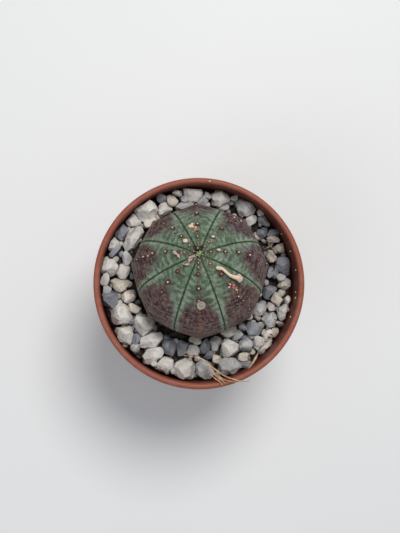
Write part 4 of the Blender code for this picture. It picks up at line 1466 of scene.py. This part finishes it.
def build_straws():
    """The straws, which follow the middle of their solids, and loose fibres and a twig on the gravel."""
    finish = dried_finish("dry_straw", (0.640, 0.470, 0.330), (0.360, 0.190, 0.100), 420.0)
    routes = {
        "long_straw": (
            (-6.2, -29.2, -4.6, 0.12),
            (-3.6, -29.5, -4.3, 0.24),
            (1.1, -30.6, -3.9, 0.30),
            (5.3, -34.0, -2.2, 0.32),
            (8.6, -36.4, -0.4, 0.30),
            (11.4, -37.8, 0.50, 0.30),
            (14.6, -38.8, 0.56, 0.26),
            (17.6, -39.3, 0.52, 0.20),
            (20.0, -39.1, 0.46, 0.12),
        ),
        "short_straw": (
            (3.8, -36.3, -0.9, 0.14),
            (5.9, -38.0, 0.42, 0.28),
            (8.0, -39.5, 0.54, 0.28),
            (8.8, -40.9, 0.46, 0.14),
        ),
        "loose_fibre_front": (
            (-0.4, -29.6, -4.0, 0.10),
            (2.6, -31.8, -3.2, 0.18),
            (4.8, -34.6, -1.8, 0.20),
            (6.0, -36.9, -0.2, 0.20),
            (8.0, -38.6, 0.46, 0.18),
            (9.9, -39.9, 0.46, 0.10),
        ),
        "loose_fibre_lip": (
            (6.2, -35.6, -0.8, 0.12),
            (7.8, -37.2, 0.10, 0.18),
            (9.8, -38.6, 0.50, 0.18),
            (12.8, -39.4, 0.56, 0.15),
            (15.8, -39.6, 0.50, 0.08),
        ),
        "loose_splinter": (
            (6.0, -36.2, -0.3, 0.14),
            (7.0, -37.4, 0.55, 0.40),
            (8.3, -38.3, 0.75, 0.46),
            (9.4, -39.0, 0.62, 0.16),
        ),
        "loose_husk": (
            (24.2, -28.3, -6.2, 0.16),
            (23.4, -29.6, -5.0, 0.42),
            (22.2, -31.6, -4.7, 0.48),
            (21.0, -33.4, -5.2, 0.36),
            (19.8, -35.0, -6.2, 0.12),
        ),
    }
    twigs = {
        "twig": (
            (27.2, 14.2, -7.8, 0.26),
            (28.4, 14.8, -7.0, 0.40),
            (29.6, 15.4, -6.7, 0.38),
            (30.9, 13.8, -6.9, 0.32),
            (31.6, 12.2, -7.6, 0.20),
        ),
        "twig_branch": (
            (29.4, 15.3, -6.8, 0.26),
            (28.8, 16.6, -6.6, 0.24),
            (29.6, 17.9, -7.0, 0.12),
        ),
    }
    bark = dried_finish("twig_bark", (0.330, 0.235, 0.160), (0.120, 0.066, 0.040), 800.0)
    finishes = dict.fromkeys(routes, finish) | dict.fromkeys(twigs, bark)
    routes |= twigs
    for index, (name, rows) in enumerate(routes.items()):
        path = smooth_path(rows, 5)
        centres = path[:, :3] * MM + np.array((0.0, 0.0, POT_HEIGHT))
        mesh = tube(name, centres, path[:, 3] * MM, sides=10, flat=0.75)
        roughen(mesh, ((1.6 * MM, 0.10 * MM),), 20.0 + index)
        piece = add_piece(f"{name}_fine", mesh, finishes[name])
        if name in frame["nodes"]:
            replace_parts(piece, name)


# Gravel and soil


def merged_copy(node_name):
    """A copy of a node's mesh with its loose triangles joined."""
    mesh = frame["nodes"][node_name].data.copy()
    with editing(mesh) as bm:
        bmesh.ops.remove_doubles(bm, verts=bm.verts, dist=WELD)
    return mesh


def remeshed(mesh, name, voxel):
    """A solid remeshed finely."""
    obj = new_object(name, mesh)
    remesh = obj.modifiers.new("Remesh", "REMESH")
    remesh.mode = "VOXEL"
    remesh.voxel_size = voxel
    return evaluated_mesh(obj, name)


def worn(mesh, name, rounds):
    """A mesh with its edges worn round."""
    obj = new_object(name, mesh)
    wear = obj.modifiers.new("Wear", "SMOOTH")
    wear.factor = 0.5
    wear.iterations = rounds
    return evaluated_mesh(obj, name)


def break_flats(points, rng, cuts, low, high):
    """Shrink a solid's points a little and press flats into them: broad ones on top, then random ones."""
    centre = (points.max(axis=0) + points.min(axis=0)) / 2
    local = (points - centre) * CHIP_SHARE
    bearing = rng.uniform(0.0, 2 * math.pi)
    for index in range(RIDGE_FLATS + cuts):
        if index < RIDGE_FLATS:
            steep = math.radians(rng.uniform(22.0, 62.0))
            turn = bearing + index * 2 * math.pi / RIDGE_FLATS + rng.uniform(-0.5, 0.5)
            level = math.sin(steep)
            way = np.array((level * math.cos(turn), level * math.sin(turn), math.cos(steep)))
            share = rng.uniform(0.60, 0.84)
        else:
            way = rng.normal(size=3)
            way /= np.linalg.norm(way)
            share = rng.uniform(low, high)
        reach = local @ way
        over = np.clip(reach - reach.max() * share, 0.0, None)
        local = local - over[:, None] * way
    return local + centre


def soil_height(x):
    """The soil's surface at a place across the pot."""
    return SOIL_LEVEL + SOIL_SLOPE * x


def build_gravel(finishes):
    """Each large chip, made from its own solid."""
    slots = {row["node"]: row["material_slot"] for row in frame["record"]["subparts"]}
    rng = np.random.default_rng(17)
    names = sorted(name for name in frame["nodes"] if name.startswith("gravel_"))
    for index, node_name in enumerate(names):
        mesh = remeshed(merged_copy(node_name), node_name + "_chip", CHIP_VOXEL)
        roughen(mesh, ((3.6 * MM, 0.90 * MM),), 5.3 * index)
        write_points(mesh, break_flats(read_points(mesh), rng, 12, 0.72, 0.94))
        mesh = worn(mesh, node_name + "_chip", 1)
        roughen(mesh, ((1.4 * MM, 0.13 * MM), (0.6 * MM, 0.06 * MM)), 3.1 * index)
        slot = slots[node_name]
        mesh.shade_smooth()
        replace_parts(add_piece(node_name + "_chip", mesh, finishes[slot]), node_name)


def build_small_chips(finishes):
    """The small chips between the large ones, one piece for each tone."""
    rng = np.random.default_rng(21)
    grouped = {}
    for x, y, length, width, turn, tone, rise in SMALL_CHIPS:
        height = max(width * 0.8, 2.6)
        top = soil_height(x * MM) + CHIP_TOP + rise * MM
        radii = np.array((length, width, height)) / 2 * MM * SMALL_CHIP_SWELL
        points, faces = lump(radii, rng, 9, 4, 0.46, 0.84)
        turned = Matrix.Rotation(math.radians(turn), 3, "Z")
        axes = np.array(turned @ Matrix.Rotation(rng.uniform(-0.3, 0.3), 3, "X"))
        centre = np.array((x * MM, y * MM, top - height / 2 * MM))
        grouped.setdefault(tone, []).append((points @ axes.T + centre, faces, 0.5))
    for tone, parts in grouped.items():
        mesh = join_shapes(f"small_chips_{tone}", parts)
        roughen(mesh, ((1.5 * MM, 0.10 * MM), (0.5 * MM, 0.05 * MM)), 40.0)
        add_piece(f"small_chips_{tone}", mesh, finishes[f"{tone}_stone"])


def belly_edge(angle):
    """How far from the pot's axis the bed starts, where the plant's belly stands on it."""
    aside = BODY_CENTRE[1]
    across = math.sqrt(BED_BELLY_RADIUS**2 - (aside * math.cos(angle)) ** 2)
    return aside * math.sin(angle) + across


def bed_ring(name, inner, lift, steps=72, rows=5):
    """The ring of bed between the plant and the wall, as a surface to scatter on."""
    verts, faces = [], []
    for step in range(steps):
        angle = 2 * math.pi * step / steps
        for row in range(rows):
            share = row / (rows - 1)
            outer = cavity_radius(soil_height(RIM_RADIUS * math.cos(angle))) - BED_WALL_GAP
            nearest = max(inner, belly_edge(angle))
            distance = nearest + (outer - nearest) * share
            x = distance * math.cos(angle)
            verts.append((x, distance * math.sin(angle), soil_height(x) + lift))
            if row:
                here = step * rows + row
                after = (step + 1) % steps * rows + row
                faces.append((here - 1, here, after, after - 1))
    return plain_mesh(name, verts, faces)


def build_loose_bed():
    """Loose chips in the gaps, and crumbs of soil under them."""
    rng = np.random.default_rng(31)
    tree = instance_tree("Loose chips", scatter=True)
    chips = []
    for index in range(6):
        points, faces = lump(rng.uniform(0.8, 1.2, 3), rng, 7, 2, 0.48, 0.85)
        chips.append(join_shapes(f"chip_{index}", [(points, faces, 0.0)]))
        chips[-1].attributes.remove(chips[-1].attributes["tone"])
    shapes = shape_collection("chip_shapes", chips)
    layers = (
        ("under_chips", 25.0, 1.6, 3.0, 1.2, 2.1, 4, mixed_stone_finish(), "grey_stone"),
        ("soil_crumbs", 17.0, 0.2, 1.25, 0.34, 0.85, 9, soil_finish(), "potting_soil"),
    )
    for name, inner, lift, spacing, smallest, largest, seed, finish, slot in layers:
        carrier = new_object(name, bed_ring(name, inner * MM, lift * MM))
        values = {
            "Shapes": shapes,
            "Finish": finish,
            "Spacing": spacing * MM,
            "Smallest": smallest * MM,
            "Largest": largest * MM,
            "Seed": seed,
        }
        add_piece(name, run_tree(carrier, tree, values, name), finish)
    clear_shapes(shapes)


def build_soil():
    """The potting mix, its surface crumbled."""
    mesh = worn(remeshed(merged_copy("soil"), "potting_mix", SOIL_VOXEL), "potting_mix", 2)
    points = read_points(mesh)
    for index, vert in enumerate(mesh.vertices):
        if vert.normal.z > 0.3 and vert.co.z > POT_HEIGHT / 2:
            coarse = 0.5 * MM * noise.noise(vert.co / (2.2 * MM))
            fine = 0.3 * MM * noise.noise(vert.co / (0.9 * MM))
            points[index, 2] += coarse + fine
    write_points(mesh, points)
    mesh.shade_smooth()
    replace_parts(add_piece("potting_mix", mesh, soil_finish()), "soil")


def build_grains():
    """Pale grains on the lip and the inner wall, and rusty husks among the gravel."""
    rng = np.random.default_rng(41)
    lip_top = POT_HEIGHT / MM
    rows = [
        # x, y, height, length, tone
        (3.9, 41.0, lip_top + 0.05, 0.50, 0.66),
        (-33.6, 25.2, lip_top + 0.02, 0.22, 0.60),
        (29.0, -22.1, 66.4, 0.80, 0.08),
        (30.0, -20.9, 66.2, 0.60, 0.12),
        (28.2, -23.4, 66.2, 0.50, 0.52),
        (32.4, -15.9, 67.0, 0.80, 0.54),
        (31.4, -14.8, 66.8, 0.50, 0.10),
        (30.3, 5.2, 67.4, 0.45, 0.12),
        (-2.2, -29.4, 70.2, 0.70, 0.08),
        (-4.6, -28.9, 70.0, 0.50, 0.14),
    ]
    wall_grains = ((19.4, 69.2), (8.0, 70.4), (-5.0, 68.4), (-8.4, 69.6), (31.0, 68.0), (-20.0, 69.0))
    for bearing, height in wall_grains:
        distance = cavity_radius(height * MM) / MM - 0.12
        angle = math.radians(bearing)
        x = distance * math.cos(angle)
        y = distance * math.sin(angle)
        rows.append((x, y, height, rng.uniform(0.35, 0.55), 0.66))
    parts = []
    for x, y, height, length, tone in rows:
        size = np.array((length, length * 0.6, length * 0.5)) * MM
        points, faces = lump(size, rng, cuts=7, level=2)
        axes = np.array(Matrix.Rotation(rng.uniform(0.0, RANDOM_TURN), 3, "Z"))
        parts.append((points @ axes.T + np.array((x, y, height)) * MM, faces, tone))
    add_piece("grains", join_shapes("grains", parts), crumb_finish())


# Stage


def build_stage():
    """A pale floor, soft light and the camera above the plant."""
    mesh = bpy.data.meshes.new("floor")
    with editing(mesh) as bm:
        bmesh.ops.create_grid(bm, x_segments=1, y_segments=1, size=FLOOR_SIZE)
    floor = new_object("floor", mesh)
    material, tree, shader, place = new_finish("pale_floor")
    grain = cloud(tree, place, 6.0, 2.0)
    colour = tint(tree, grain, (0.78, 0.79, 0.80), (0.84, 0.85, 0.86))
    finish_grained(tree, shader, colour, grain, (0.7, 0.8), (0.02, 0.0005))
    mesh.materials.append(material)

    scene = bpy.context.scene
    world = bpy.data.worlds.new("studio")
    world.use_nodes = True
    background = world.node_tree.nodes["Background"]
    background.inputs["Color"].default_value = (0.92, 0.96, 1.0, 1.0)
    background.inputs["Strength"].default_value = WORLD_STRENGTH
    scene.world = world
    lamps = (
        ("key_light", (0.10, 0.30, 0.70), 0.34, 3.8, (1.0, 0.97, 0.93)),
        ("fill_light", (-0.45, -0.35, 0.55), 0.50, 0.9, (0.92, 0.96, 1.0)),
    )
    for name, place, size, power, colour in lamps:
        lamp = bpy.data.lights.new(name, "AREA")
        lamp.shape = "DISK"
        lamp.size = size
        lamp.energy = power
        lamp.color = colour
        obj = bpy.data.objects.new(name, lamp)
        obj.location = place
        aim = Vector((0.0, 0.0, POT_HEIGHT)) - Vector(place)
        obj.rotation_euler = aim.to_track_quat("-Z", "Y").to_euler()
        scene.collection.objects.link(obj)

    lens = bpy.data.cameras.new("camera")
    lens.sensor_fit = "HORIZONTAL"
    lens.sensor_width = SENSOR_WIDTH
    lens.lens = LENS
    lens.clip_start = 0.01
    camera = bpy.data.objects.new("camera", lens)
    camera.location = CAMERA_PLACE
    look = (CAMERA_TARGET - CAMERA_PLACE).normalized()
    right = look.cross(Vector((0.0, 1.0, 0.0))).normalized()
    up = right.cross(look)
    camera.rotation_euler = Matrix((right, up, -look)).transposed().to_euler()
    scene.collection.objects.link(camera)
    scene.camera = camera
    scene.view_settings.view_transform = "Standard"


def main():
    """Build every piece."""
    tones = {
        "pale_stone": PALE_STONE,
        "cream_stone": CREAM_STONE,
        "grey_stone": GREY_STONE,
        "slate_stone": SLATE_STONE,
    }
    finishes = {name: stone_finish(name, tone) for name, tone in tones.items()}
    build_stage()
    build_pot()
    build_soil()
    build_gravel(finishes)
    build_small_chips(finishes)
    build_loose_bed()
    build_body(skin_finish())
    build_eyes()
    build_growing_tip()
    build_scar()
    build_crumbs()
    build_stalks()
    build_straws()
    build_grains()


main()
